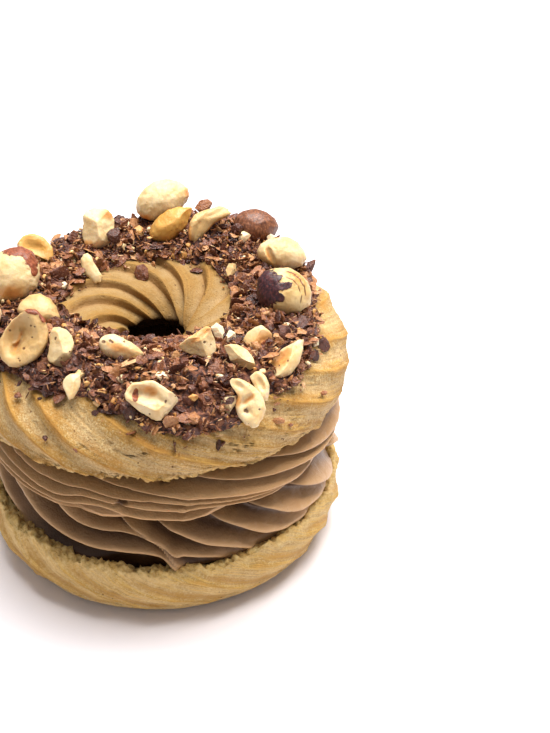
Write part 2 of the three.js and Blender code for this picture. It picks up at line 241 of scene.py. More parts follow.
class Recipe:
    # a material and the few kinds of node that the finishes here are mixed from

    def __init__(self, name, roughness, **sockets):
        self.material = bpy.data.materials.new(name)
        self.material.use_nodes = True
        self.tree = self.material.node_tree
        self.shader = self.tree.nodes["Principled BSDF"]
        self.shader.inputs["Roughness"].default_value = roughness
        for socket, value in sockets.items():
            self.shader.inputs[socket.replace("_", " ")].default_value = value
        self.place = self.tree.nodes.new("ShaderNodeTexCoord").outputs["Object"]

    def set(self, socket, source):
        if hasattr(source, "is_linked"):
            self.tree.links.new(source, socket)
        else:
            socket.default_value = source

    def layer(self, name, output="Fac"):
        node = self.tree.nodes.new("ShaderNodeAttribute")
        node.attribute_name = name
        return node.outputs[output]

    def noise(self, size, detail=3, roughness=0.5, place=None):
        node = self.tree.nodes.new("ShaderNodeTexNoise")
        node.inputs["Scale"].default_value = 1 / (size * mm)
        node.inputs["Detail"].default_value = detail
        node.inputs["Roughness"].default_value = roughness
        self.set(node.inputs["Vector"], place or self.place)
        return node.outputs["Fac"]

    def cells(self, size, output="Distance"):
        node = self.tree.nodes.new("ShaderNodeTexVoronoi")
        node.inputs["Scale"].default_value = 1 / (size * mm)
        self.set(node.inputs["Vector"], self.place)
        return node.outputs[output]

    def glow(self, weight, depth, radius=(1, 0.2, 0.1)):
        # light that goes in and comes out again nearby, the depth in millimetres
        self.shader.inputs["Subsurface Weight"].default_value = weight
        self.shader.inputs["Subsurface Scale"].default_value = depth * mm
        self.shader.inputs["Subsurface Radius"].default_value = radius

    def stretched(self, x, y, z):
        node = self.tree.nodes.new("ShaderNodeMapping")
        node.inputs["Scale"].default_value = (x, y, z)
        self.set(node.inputs["Vector"], self.place)
        return node.outputs["Vector"]

    def math(self, operation, first, second=0.0, third=0.0):
        node = self.tree.nodes.new("ShaderNodeMath")
        node.operation = operation
        for socket, source in zip(node.inputs, (first, second, third)):
            self.set(socket, source)
        return node.outputs[0]

    def band(self, source, low, high):
        # 0 up to low, 1 from high on
        node = self.tree.nodes.new("ShaderNodeMapRange")
        node.interpolation_type = "SMOOTHSTEP"
        for socket, value in zip(node.inputs, (source, low, high, 0.0, 1.0)):
            self.set(socket, value)
        return node.outputs[0]

    def mix(self, share, first, second, blend="MIX"):
        node = self.tree.nodes.new("ShaderNodeMix")
        node.data_type = "RGBA"
        node.blend_type = blend
        self.set(node.inputs["Factor"], share)
        self.set(node.inputs[6], first)
        self.set(node.inputs[7], second)
        return node.outputs[2]

    def coat(self, base, amount, share, colour):
        # a colour over the base, by that share of the amount
        return self.mix(self.math("MULTIPLY", amount, share), base, paint(*colour))

    def specks(self, size, chosen, dot):
        # a dot in some of the cells: which cells, and where a dot begins and is full
        picked = self.band(self.cells(size, "Color"), *chosen)
        return self.math("MULTIPLY", self.band(self.cells(size), *dot), picked)

    def ramp(self, source, *stops):
        # (position, colour) from low to high
        node = self.tree.nodes.new("ShaderNodeValToRGB")
        elements = node.color_ramp.elements
        while len(elements) < len(stops):
            elements.new(0.5)
        for element, (position, colour) in zip(elements, stops):
            element.position = position
            element.color = paint(*colour)
        self.set(node.inputs["Fac"], source)
        return node.outputs["Color"]

    def bump(self, *layers):
        # (height, distance in millimetres) from coarse to fine
        normal = None
        for height, distance in layers:
            node = self.tree.nodes.new("ShaderNodeBump")
            node.inputs["Strength"].default_value = 1
            node.inputs["Distance"].default_value = distance * mm
            self.set(node.inputs["Height"], height)
            if normal:
                self.set(node.inputs["Normal"], normal)
            normal = node.outputs["Normal"]
        self.set(self.shader.inputs["Normal"], normal)

    def colour(self, source):
        self.set(self.shader.inputs["Base Color"], source)
        return self.material


def chouxFinish(name, browning, tint):
    # golden crests and stretch lines, pale floury hollows, coarse grain, pits and dark specks, painted shade
    # in the deep places, and a tint that is partly painted light
    recipe = Recipe(name, 0.72, Specular_IOR_Level=0.3)
    broad = recipe.noise(8, 2)
    patch = recipe.noise(2.4, 4, 0.6)
    grain = recipe.noise(0.42, 4, 0.75)
    fine = recipe.noise(0.16, 2, 0.6)
    browned = recipe.math("MULTIPLY_ADD", patch, 0.5, recipe.layer("browned"))
    browned = recipe.math("MULTIPLY_ADD", broad, 0.7, browned)
    browned = recipe.math("ADD", browned, browning - 0.6)
    crust = recipe.ramp(
        browned,
        (0.0, (204, 170, 128)),
        (0.25, (192, 156, 108)),
        (0.46, (180, 138, 76)),
        (0.72, (184, 132, 60)),
        (1.0, (152, 100, 40)),
    )
    flour = recipe.math("MULTIPLY", recipe.band(grain, 0.5, 0.6), recipe.band(browned, 0.9, 0.25))
    grainy = recipe.layer("grainy")
    flour = recipe.math("MULTIPLY", flour, recipe.math("MULTIPLY", grainy, 0.75))
    crust = recipe.mix(flour, crust, paint(216, 196, 156))
    shade = recipe.math("MULTIPLY", recipe.band(grain, 0.47, 0.36), recipe.math("MULTIPLY", grainy, 0.48))
    crust = recipe.mix(shade, crust, paint(136, 100, 52))
    streak = recipe.band(recipe.layer("streak"), 0.1, 0.8)
    crust = recipe.coat(crust, streak, 0.45, (204, 158, 84))
    threads = recipe.noise(0.75, 2, 0.5, recipe.layer("thread", "Vector"))
    light = recipe.math("MULTIPLY", recipe.band(threads, 0.5, 0.6), recipe.layer("threads"))
    crust = recipe.coat(crust, light, 0.65, (212, 168, 92))
    dark = recipe.math("MULTIPLY", recipe.band(threads, 0.45, 0.36), recipe.layer("threads"))
    crust = recipe.coat(crust, dark, 0.45, (156, 114, 58))
    # darker brown beside one flank of each crest, and painted shade at the foot of each step down the lid's
    # hole
    crust = recipe.coat(crust, recipe.layer("darkFlank"), 0.6, (160, 108, 42))
    crust = recipe.coat(crust, recipe.specks(2.1, (0.7, 0.74), (0.14, 0.08)), 0.8, (92, 54, 26))
    crumb = recipe.ramp(
        recipe.noise(1.1, 4, 0.6),
        (0.36, (174, 130, 70)),
        (0.5, (212, 172, 106)),
        (0.66, (228, 198, 144)),
    )
    crust = recipe.mix(recipe.math("MULTIPLY", recipe.layer("torn"), 0.75), crust, crumb)
    # painted shade: down the lid's hole, in its crack and broken patches, inside the base and in the rim's
    # holes and dips
    crust = recipe.coat(crust, recipe.layer("deep"), 0.8, (62, 40, 20))
    # a tint over the whole crust, partly painted light
    crust = recipe.mix(1.0, crust, tint, "MULTIPLY")
    pit = recipe.band(recipe.cells(0.8), 0.05, 0.34)
    recipe.bump((patch, 0.3), (pit, 0.1), (grain, 0.2), (fine, 0.06))
    return recipe.colour(crust)


def creamFinish():
    # satin cream, lighter on the crest lines, partly paler edges and partly a painted highlight, with
    # painted shade deep in the folds and fine nut specks
    recipe = Recipe("pralineCreamSatin", 0.42, Specular_IOR_Level=0.4)
    recipe.glow(0.08, 0.8, (1, 0.6, 0.35))
    satin = recipe.ramp(recipe.noise(6), (0.3, (176, 132, 84)), (0.7, (188, 145, 96)))
    # the crest lines: paler edges of the cream, and partly a painted highlight
    satin = recipe.coat(satin, recipe.layer("crest"), 0.5, (212, 170, 118))
    # painted shade in the folds, under the lip and the lid's edge, in the nicks and on the lower strand's
    # front left
    satin = recipe.coat(satin, recipe.layer("hollow"), 0.94, (64, 38, 18))
    satin = recipe.coat(satin, recipe.specks(1.1, (0.72, 0.76), (0.12, 0.06)), 0.6, (84, 54, 34))
    recipe.bump((recipe.noise(1.4), 0.2), (recipe.noise(0.45, 3, 0.6), 0.12))
    return recipe.colour(satin)


def crumbleFinish(name, roughness, grain=None):
    # candied praline crumb, its tone from the "tone" layer of each piece, mottled or in grains of that size
    recipe = Recipe(name, roughness, Specular_IOR_Level=0.5)
    if grain:
        mottle = recipe.math("MULTIPLY", recipe.cells(grain, "Color"), 1.1)
    else:
        mottle = recipe.noise(0.6, 4, 0.7)
    tone = recipe.math("MULTIPLY_ADD", mottle, 0.7, recipe.layer("tone"))
    shard = recipe.ramp(
        recipe.math("SUBTRACT", tone, 0.35),
        (0.0, (46, 21, 17)),
        (0.26, (98, 54, 38)),
        (0.5, (146, 92, 58)),
        (0.72, (186, 132, 84)),
        (0.93, (222, 182, 134)),
    )
    recipe.bump((recipe.noise(0.8, 3, 0.7), 0.4), (recipe.noise(0.3, 3, 0.7), 0.16))
    return recipe.colour(shard)


def paleFinish():
    # chopped nut, its tone from golden to white from the "tone" layer
    recipe = Recipe("choppedNut", 0.5, Specular_IOR_Level=0.4)
    recipe.glow(0.15, 0.8)
    tone = recipe.math("MULTIPLY_ADD", recipe.noise(0.8, 3, 0.6), 0.5, recipe.layer("tone"))
    chip = recipe.ramp(
        recipe.math("SUBTRACT", tone, 0.25),
        (0.0, (150, 92, 40)),
        (0.3, (204, 150, 82)),
        (0.62, (222, 190, 136)),
        (1.0, (232, 214, 180)),
    )
    recipe.bump((recipe.noise(0.4, 3, 0.6), 0.1))
    return recipe.colour(chip)


def nutFinish(name, pale, golden, roughness, *skinTones):
    # peeled hazelnut: the "toast", "skin" and "mark" layers say what is browned, unpeeled or pricked
    recipe = Recipe(name, roughness, Specular_IOR_Level=0.4)
    recipe.glow(0.25, 1.4, (1, 0.6, 0.3))
    broad = recipe.noise(4.5)
    blotch = recipe.noise(1.5, 4, 0.6)
    fine = recipe.noise(0.3, 3, 0.6)
    lines = recipe.noise(0.5, 3, 0.6, recipe.stretched(1, 0.25, 0.25))
    flesh = recipe.ramp(broad, (0.3, golden), (0.6, pale))
    flesh = recipe.coat(flesh, recipe.band(blotch, 0.55, 0.72), 0.6, golden)
    flesh = recipe.coat(flesh, recipe.band(lines, 0.6, 0.72), 0.3, (196, 154, 94))
    toast = recipe.math("ADD", recipe.layer("toast"), recipe.math("MULTIPLY_ADD", blotch, 0.5, -0.25))
    flesh = recipe.coat(flesh, recipe.band(toast, 0.2, 0.75), 0.9, (204, 144, 78))
    flesh = recipe.coat(flesh, recipe.band(toast, 0.7, 1.05), 0.7, (170, 104, 50))
    flesh = recipe.coat(flesh, recipe.specks(1.5, (0.74, 0.78), (0.12, 0.06)), 0.75, (112, 66, 34))
    flesh = recipe.coat(flesh, recipe.band(recipe.layer("mark"), 0.35, 0.6), 0.85, (96, 54, 28))
    uneven = recipe.math("MULTIPLY_ADD", recipe.noise(0.9, 5, 0.65), 0.5, -0.25)
    edge = recipe.math("ADD", recipe.layer("skin"), uneven)
    streaks = recipe.noise(0.45, 4, 0.65, recipe.stretched(1, 1, 0.35))
    skin = recipe.ramp(streaks, *zip((0.35, 0.55, 0.72), skinTones))
    isSkin = recipe.band(edge, 0.48, 0.54)
    recipe.bump((blotch, 0.14), (lines, 0.05), (isSkin, 0.08), (fine, 0.05))
    return recipe.colour(recipe.mix(isSkin, flesh, skin))


# the tints: the lid darker and the base lighter, partly painted light for how much lamp light each gets,
# partly a shift of hue
lidCrust = chouxFinish("bakedChouxLid", 0.14, (0.92, 0.91, 0.79, 1))
baseCrust = chouxFinish("bakedChouxBase", 0.1, (1.08, 1.12, 0.98, 1))
creamSatin = creamFinish()
candied = crumbleFinish("candiedPraline", 0.27)
pressed = crumbleFinish("pressedCrumble", 0.65, 0.7)
chopped = paleFinish()
# each hazelnut finish: pale and golden flesh, roughness, then the skin from dark to light
brownSkin = [(92, 44, 26), (140, 74, 46), (176, 108, 70)]
nutFinishes = {
    "pale": nutFinish("hazelnutPale", (222, 198, 154), (206, 170, 112), 0.42, *brownSkin),
    "tan": nutFinish("hazelnutTan", (206, 174, 122), (188, 148, 90), 0.42, *brownSkin),
    "golden": nutFinish("hazelnutGolden", (204, 158, 84), (184, 130, 54), 0.36, *brownSkin),
    "dark": nutFinish("hazelnutDark", (222, 194, 138), (196, 156, 96), 0.4,
                      (30, 20, 28), (70, 34, 36), (112, 62, 58)),
    "skin": nutFinish("hazelnutSkin", (214, 176, 124), (192, 144, 88), 0.4,
                      (78, 46, 32), (124, 76, 50), (166, 116, 82)),
}
print("materials mixed")


lid = {
    "columns": 640,
    "rows": 136,
    "closerFrom": 38,  # the rows lie closer together outside this radius
    "cutRows": 9,
    # the section is an oval: its middle's radius and height, its half width, its half height above and below
    # the middle, how many degrees of it go on below, and how it leans and opens out towards the hole
    "sectionRadius": 26,
    "middle": 48,
    "halfWidth": 19,
    "rise": 13.4,
    "drop": 16.2,
    "tuck": 16.875,
    "cut": 43.2,
    "skew": 2,
    "flare": 3,
    "curl": 5,
    "ridgeDepth": 1.25,
    # degrees round the axis of the calmest ridges, of the roughest edge and of the clearest stretch lines
    "calmAt": 8,
    "tornAt": -94,
    "drawnAt": -52,
    # where the ridges cross the shoulder, degrees round the axis, and how strong each is
    "crests": [(-128.5, 1), (-110.5, 1), (-86, 0.95), (-78.5, 0.5), (-70, 0.7), (-57, 0.8), (-38.4, 0.9),
               (-20, 0.9)],
    "crestsBehind": 12,
    # how far a ridge leans round the axis on its way up the section
    "leanAt": [-17, 0, 20, 45, 104, 113, 121, 130, 140, 150, 160, 170, 180, 190, 197],
    "lean": [-27, -13, 0, 15, 48, 60, 70, 81, 91, 103, 116, 132, 150, 175, 190],
    # the fewer, broader ridges down the hole
    "innerCrests": [-152, -123, -85, -52, -24, 5, 40, 73, 110, 145, 170],
    "innerDepth": 1.7,
    # patches of broken crust: middle, radius, depth of its pores
    "pores": [((20, -41, 50), 3.2, 0.7), ((23.5, -38.5, 50.5), 2.6, 0.6), ((26, -36.5, 52), 2.4, 0.5)],
    # a crack: points along it
    "crack": [(-4.2, -44.4, 51.5), (-2.1, -44.8, 50.9), (-0.2, -44.8, 51.0), (1.7, -44.3, 52.2)],
}


def lidCut(angle):
    # the height of the lid's cut face, a little wavy
    return lid["cut"] + 1.1 * np.cos(2 * (angle + pi / 2))


def crestWheel():
    # all crests round the lid, in order, with the first one repeated a turn on
    crests = list(lid["crests"])
    first, last = crests[0][0], crests[-1][0]
    gap = (first + 360 - last) / lid["crestsBehind"]
    for step in range(1, lid["crestsBehind"]):
        crests.append((last + gap * step + 2.2 * sin(4.1 * step), 0.9 + 0.12 * sin(2.3 * step)))
    return crests + [(first + 360, crests[0][1])]


def betweenCrests(places, start):
    # the crest before each place round the ring, the width up to the next one and the share of it passed
    inside = places[0] + (start - places[0]) % 360
    index = np.clip(np.searchsorted(places, inside, side="right") - 1, 0, len(places) - 2)
    width = places[index + 1] - places[index]
    return index, width, (inside - places[index]) / width


def ridge(across):
    # 1 on a crest, 0 halfway to the next
    return (0.5 + 0.5 * np.cos(2 * pi * across)) ** 1.3


def ridgesAt(start):
    # for a ridge's place on the shoulder: the swell from 0 to 1, the thin line on it, the width from crest
    # to crest and the share of it that is passed
    places, strengths = np.array(crestWheel()).T
    index, width, across = betweenCrests(places, start)
    strength = strengths[index] + (strengths[index + 1] - strengths[index]) * across
    nearest = np.minimum(across, 1 - across) * width
    return ridge(across) * strength, hump(nearest, 0, 1.1) * strength, width, across


def innerRidgesAt(start):
    # shingled ridges: a gentle rise up to each crest and a steep step behind it; their swell and line, and
    # the foot of each step
    places = np.array(lid["innerCrests"] + [lid["innerCrests"][0] + 360])
    _, _, across = betweenCrests(places, start)
    swell = np.maximum(smooth(0.36, 0, across), smooth(0.12, 1.05, across))
    line = smooth(0.14, 0, np.minimum(across, 1 - across))
    return np.clip(swell, 0, 1), line, smooth(0.05, 0.18, across) * smooth(0.5, 0.25, across)


def lidSurface(section, relief):
    turned = np.radians(section)
    halfHeight = np.where((section > 0) & (section < 180), lid["rise"], lid["drop"])
    middle = lid["middle"] + np.where(section > 90, lid["skew"] * np.cos(turned) ** 2, 0)
    opened = lid["flare"] * smooth(180, 180 + lid["tuck"], section) + lid["curl"] * smooth(169, 183, section)
    radius = lid["sectionRadius"] + (lid["halfWidth"] + relief) * np.cos(turned) + opened
    return radius, middle + (halfHeight + relief) * np.sin(turned)


def distanceTo(points, line):
    # distance of each point from a line of points
    nearest = np.full(len(points), 1e3)
    for a, b in zip(np.array(line[:-1], float), np.array(line[1:], float)):
        share = np.clip((points - a) @ (b - a) / ((b - a) @ (b - a)), 0, 1)
        nearest = np.minimum(nearest, np.linalg.norm(points - a - share[:, None] * (b - a), axis=1))
    return nearest


def makeLid():
    first, last = -lid["tuck"], 180 + lid["tuck"]
    fineSections = np.linspace(first, last, 800)
    profile = np.stack(lidSurface(fineSections, 0), 1)
    outline = walked(profile, lid["rows"], lambda middles: 1 + 0.6 * (middles[:, 0] > lid["closerFrom"]))
    along = [np.argmin(np.hypot(*(profile - point).T)) for point in outline]
    ring = turnedRing("lidChoux", outline, lid["columns"], closed=False)
    points = pointsOf(ring)
    section = fineSections[along][rowsOf(ring)]
    start = np.degrees(np.arctan2(points[:, 1], points[:, 0]))
    angle = np.radians(start - np.interp(section, lid["leanAt"], lid["lean"]))
    plain = around(angle, *lidSurface(section, 0))

    # the ridges, shallower under the crumble and at the front, others down the hole
    wander = 2.2 * bumps(plain, 16, 1, 3) + 0.9 * bumps(plain, 5, 1, 4)
    swell, line, width, across = ridgesAt(start + wander)
    covered = smooth(44, 58, section) - smooth(102, 118, section)
    inner = smooth(110, 135, section)
    depth = lid["ridgeDepth"] * (0.5 + 0.5 * smooth(-25, 20, section)) * (1 - 0.6 * covered)
    depth = depth * (1 + 0.3 * inner)
    depth = depth * np.clip(width / 17, 0.35, 1) * (1 + 0.3 * bumps(plain, 9, 1, 5))
    depth = depth * (1 - 0.55 * hump(np.degrees(angle), lid["calmAt"], 32))
    downHole = smooth(96, 112, section)
    innerSwell, innerLine, innerStep = innerRidgesAt(start + 1.5 * bumps(plain, 7, 1, 19))
    swell = swell + (innerSwell - swell) * downHole
    line = line + (0.5 * innerLine - line) * downHole
    depth = depth + (lid["innerDepth"] * (1 - 0.35 * smooth(150, 185, section)) - depth) * downHole

    # the crust: stretch lines, lumps, single holes, the broken patches and the crack
    threads = around(np.radians(start), threadRadius, 0.06 * section)
    stretch = bumps(threads, 1.4, 2, 6)
    relief = depth * (swell - 0.4) + 0.2 * line * (1 + 0.6 * bumps(plain, 3, 1, 15))
    relief = relief + 0.14 * stretch * (1 - 0.7 * downHole)
    relief += 0.34 * bumps(plain, 6, 2, 7)
    relief += (0.16 * bumps(plain, 1.8, 2, 8) + 0.06 * bumps(plain, 0.7, 2, 14)) * (1 - 0.5 * downHole)
    distance, pick = pits(plain, 2.4, 1)
    relief -= 0.4 * smooth(0.34, 0.1, distance) * (pick > 0.76)
    broken = np.zeros(len(points))
    porous = np.zeros(len(points))
    distance, pick = pits(plain, 1.1, 3)
    frayed = 0.6 * bumps(plain, 1.2, 2, 16)
    for middle, reach, hole in lid["pores"]:
        away = np.linalg.norm(plain - middle, axis=1) + frayed
        patch = smooth(reach, 0.4 * reach, away)
        relief -= patch * hole * smooth(0.5, 0.15, distance) * (pick > 0.3)
        broken = np.maximum(broken, 0.7 * patch)
        wider = smooth(reach, 0.5 * reach, away)
        porous = np.maximum(porous, wider * smooth(0.5, 0.2, distance) * (pick > 0.3))
    crack = distanceTo(plain + 0.35 * drift(plain, 1.4, 17), lid["crack"])
    relief -= 0.7 * smooth(0.45, 0.1, crack)
    # flatter where the crumble thins out towards the hole
    under = smooth(0.4, 0.75, -np.sin(angle)) * smooth(100, 114, section) * smooth(168, 148, section)
    relief = relief * (1 - 0.8 * under) - 0.3 * under
    radius, height = lidSurface(section, relief)

    # the torn edge
    outer = smooth(first + 14, first, section)
    innerEdge = smooth(last - 16, last, section)
    front = hump(np.degrees(angle), lid["tornAt"], 16)
    tear = 0.3 * ragged(angle, 1) + 0.45 * bumps(plain, 2.2, 3, 9)
    tear = tear + (0.3 + 0.5 * front) * bumps(plain, 0.8, 3, 10)
    height += outer * (lidCut(angle) - lid["cut"] + tear) + innerEdge * (0.5 * tear + 0.9 * (swell - 0.4))
    radius += outer * (0.3 * bumps(plain, 1.0, 2, 11) - 0.25)
    movePoints(ring, around(angle, radius, height))

    # what the finish reads
    setLayer(ring, "browned", np.clip((0.4 * swell + 0.2 * line) * (1 - 0.2 * downHole) + 0.04, 0, 1))
    setLayer(ring, "streak", (stretch + 0.5 * line) * smooth(0.15, 0.6, swell + 0.3 * stretch))
    beside = smooth(0.08, 0.2, across) * smooth(0.4, 0.22, across) * (1 - downHole)
    patchy = np.clip(0.6 + bumps(plain, 4, 2, 29), 0, 1)
    # darker brown beside one flank of each crest, in patches, and painted shade at the foot of each step
    # down the hole
    setLayer(ring, "darkFlank", np.maximum(0.8 * beside * patchy, 0.9 * innerStep * downHole))
    setLayer(ring, "grainy", 1 - 0.7 * downHole)
    torn = np.maximum(smooth(first + 4.5, first, section + 1.5 * bumps(plain, 1.5, 2, 12)), broken)
    setLayer(ring, "torn", torn)
    # painted shade: down the hole, most deep in it, in the crack and in the broken patches
    shaded = [smooth(154, 174, section), 0.48 * downHole, 0.6 * smooth(0.5, 0.15, crack), 0.16 * porous]
    setLayer(ring, "deep", np.max(shaded, axis=0))
    setThreads(ring, threads)
    drawn = 0.35 + 0.65 * smooth(0.3, 0.8, np.cos(angle - radians(lid["drawnAt"]))) * smooth(26, 12, section)
    setLayer(ring, "threads", drawn * (1 - 0.5 * covered) * np.clip(0.7 + bumps(plain, 5, 1, 30), 0, 1))

    # the cut face closes it below
    selectOnly(ring)
    bpy.ops.object.mode_set(mode="EDIT")
    bpy.ops.mesh.select_all(action="DESELECT")
    bpy.ops.mesh.select_non_manifold()
    bpy.ops.mesh.bridge_edge_loops(number_cuts=lid["cutRows"])
    bpy.ops.object.mode_set(mode="OBJECT")
    facesOut(ring)
    points = pointsOf(ring)
    face = np.arange(len(points)) >= lid["columns"] * lid["rows"]
    torn = layerOf(ring, "torn")
    torn[face] = 1
    setLayer(ring, "torn", torn)
    points[face, 2] += 0.2 * bumps(points[face], 2.2, 2, 13)
    movePoints(ring, points)
    finished(ring, lidCrust, "baked_choux", "lid_choux")


makeLid()


base = {
    "columns": 600,
    "rows": 150,
    "wall": [(36.5, 0), (39.9, 1.6), (41.9, 5.4), (43.7, 9.6), (43.5, 13.8)],
    "bed": [(42.6, 15.9), (39.8, 15.2), (38.4, 12), (12.5, 12), (10.6, 14.2), (8, 11), (10.2, 0)],
    "ridges": 18,
    "ridgeDepth": 0.8,
    "lean": 2.6,  # degrees round the axis for each millimetre down the wall
    # degrees round the axis where the rim's torn inside is widest and where the rim stands highest
    "widestAt": -135,
    "raisedAt": -160,
}


def makeBase():
    outline = rounded([(30, 0)] + base["wall"] + base["bed"] + [(20, 0)], 2)
    outline = walked(outline, base["rows"], lambda middles: np.where(middles[:, 0] > 37, 1.0, 0.3))
    ring = turnedRing("baseChoux", outline, base["columns"])
    points = pointsOf(ring)
    radius, height = outline[rowsOf(ring)].T
    start = np.arctan2(points[:, 1], points[:, 0])
    outside = smooth(38, 40.5, radius) * smooth(0, 3, height)
    wall = outside * smooth(15.6, 12.5, height + 100 * (radius < 41))
    rim = smooth(12.2, 14.4, height) * smooth(37, 38.6, radius)
    angle = start - np.radians(base["lean"] * (height - 14) * (radius > 36))
    plain = around(angle, radius, height)
    across = base["ridges"] * (start + 0.06 * bumps(plain, 12, 1, 21)) / (2 * pi) % 1
    swell = ridge(across)
    line = hump(np.minimum(across, 1 - across), 0, 0.06)
    threads = around(start, threadRadius, 0.2 * height)
    stretch = bumps(threads, 1.3, 2, 23)
    relief = wall * base["ridgeDepth"] * ((swell - 0.4) * (1 + 0.5 * bumps(plain, 9, 1, 22)) + 0.2 * line)
    lumps = 0.35 * bumps(plain, 6, 2, 24) + 0.16 * bumps(plain, 1.6, 3, 25)
    relief += wall * 0.16 * stretch + outside * lumps

    # the rim: crumbly inside, with holes, and raised on one side
    distance, pick = pits(plain, 2.0, 2)
    holes = smooth(0.45, 0.15, distance) * (pick > 0.35) * smooth(42.8, 41.6, radius)
    inner = smooth(43.4, 41.6, radius - 0.9 * sideOf(start, base["widestAt"])) * (height > 10)
    crumbly = bumps(plain, 1.1, 3, 28)
    # painted shade inside the cup, where the cream hides it
    under = 0.35 * smooth(40.6, 38.6, radius) * (height > 5)
    uneven = 0.3 * ragged(angle, 5) + 0.7 * bumps(plain, 3.0, 2, 26)
    radius = radius + relief + rim * (uneven - 0.45 * inner * crumbly)
    uneven = 0.9 * bumps(plain, 4.2, 2, 27) + (0.08 + 0.85 * inner) * crumbly
    height = height + rim * (0.5 * ragged(angle, 5.5) + uneven - 0.8 * holes)
    height = height + rim * 2.6 * sideOf(angle, base["raisedAt"])
    movePoints(ring, around(angle, radius, np.maximum(height, 0)))

    setLayer(ring, "browned", np.clip(0.05 + (0.22 * swell + 0.2 * line) * wall, 0, 1))
    setLayer(ring, "streak", wall * (stretch + 0.3 * line))
    setLayer(ring, "grainy", np.full(len(points), 0.7))
    setThreads(ring, threads)
    setLayer(ring, "threads", 0.8 * outside)
    # darker brown beside one flank of each crest
    setLayer(ring, "darkFlank", 0.9 * wall * smooth(0.08, 0.25, across) * smooth(0.5, 0.3, across))
    setLayer(ring, "torn", inner)
    # painted shade in the rim's holes and in the dips of its crumbly inside
    crumbs = inner * smooth(0.05, -0.45, crumbly) * rim
    setLayer(ring, "deep", under + np.maximum(0.7 * rim * holes, 0.2 * crumbs))
    facesOut(ring)
    finished(ring, baseCrust, "baked_choux", "base_choux")


makeBase()


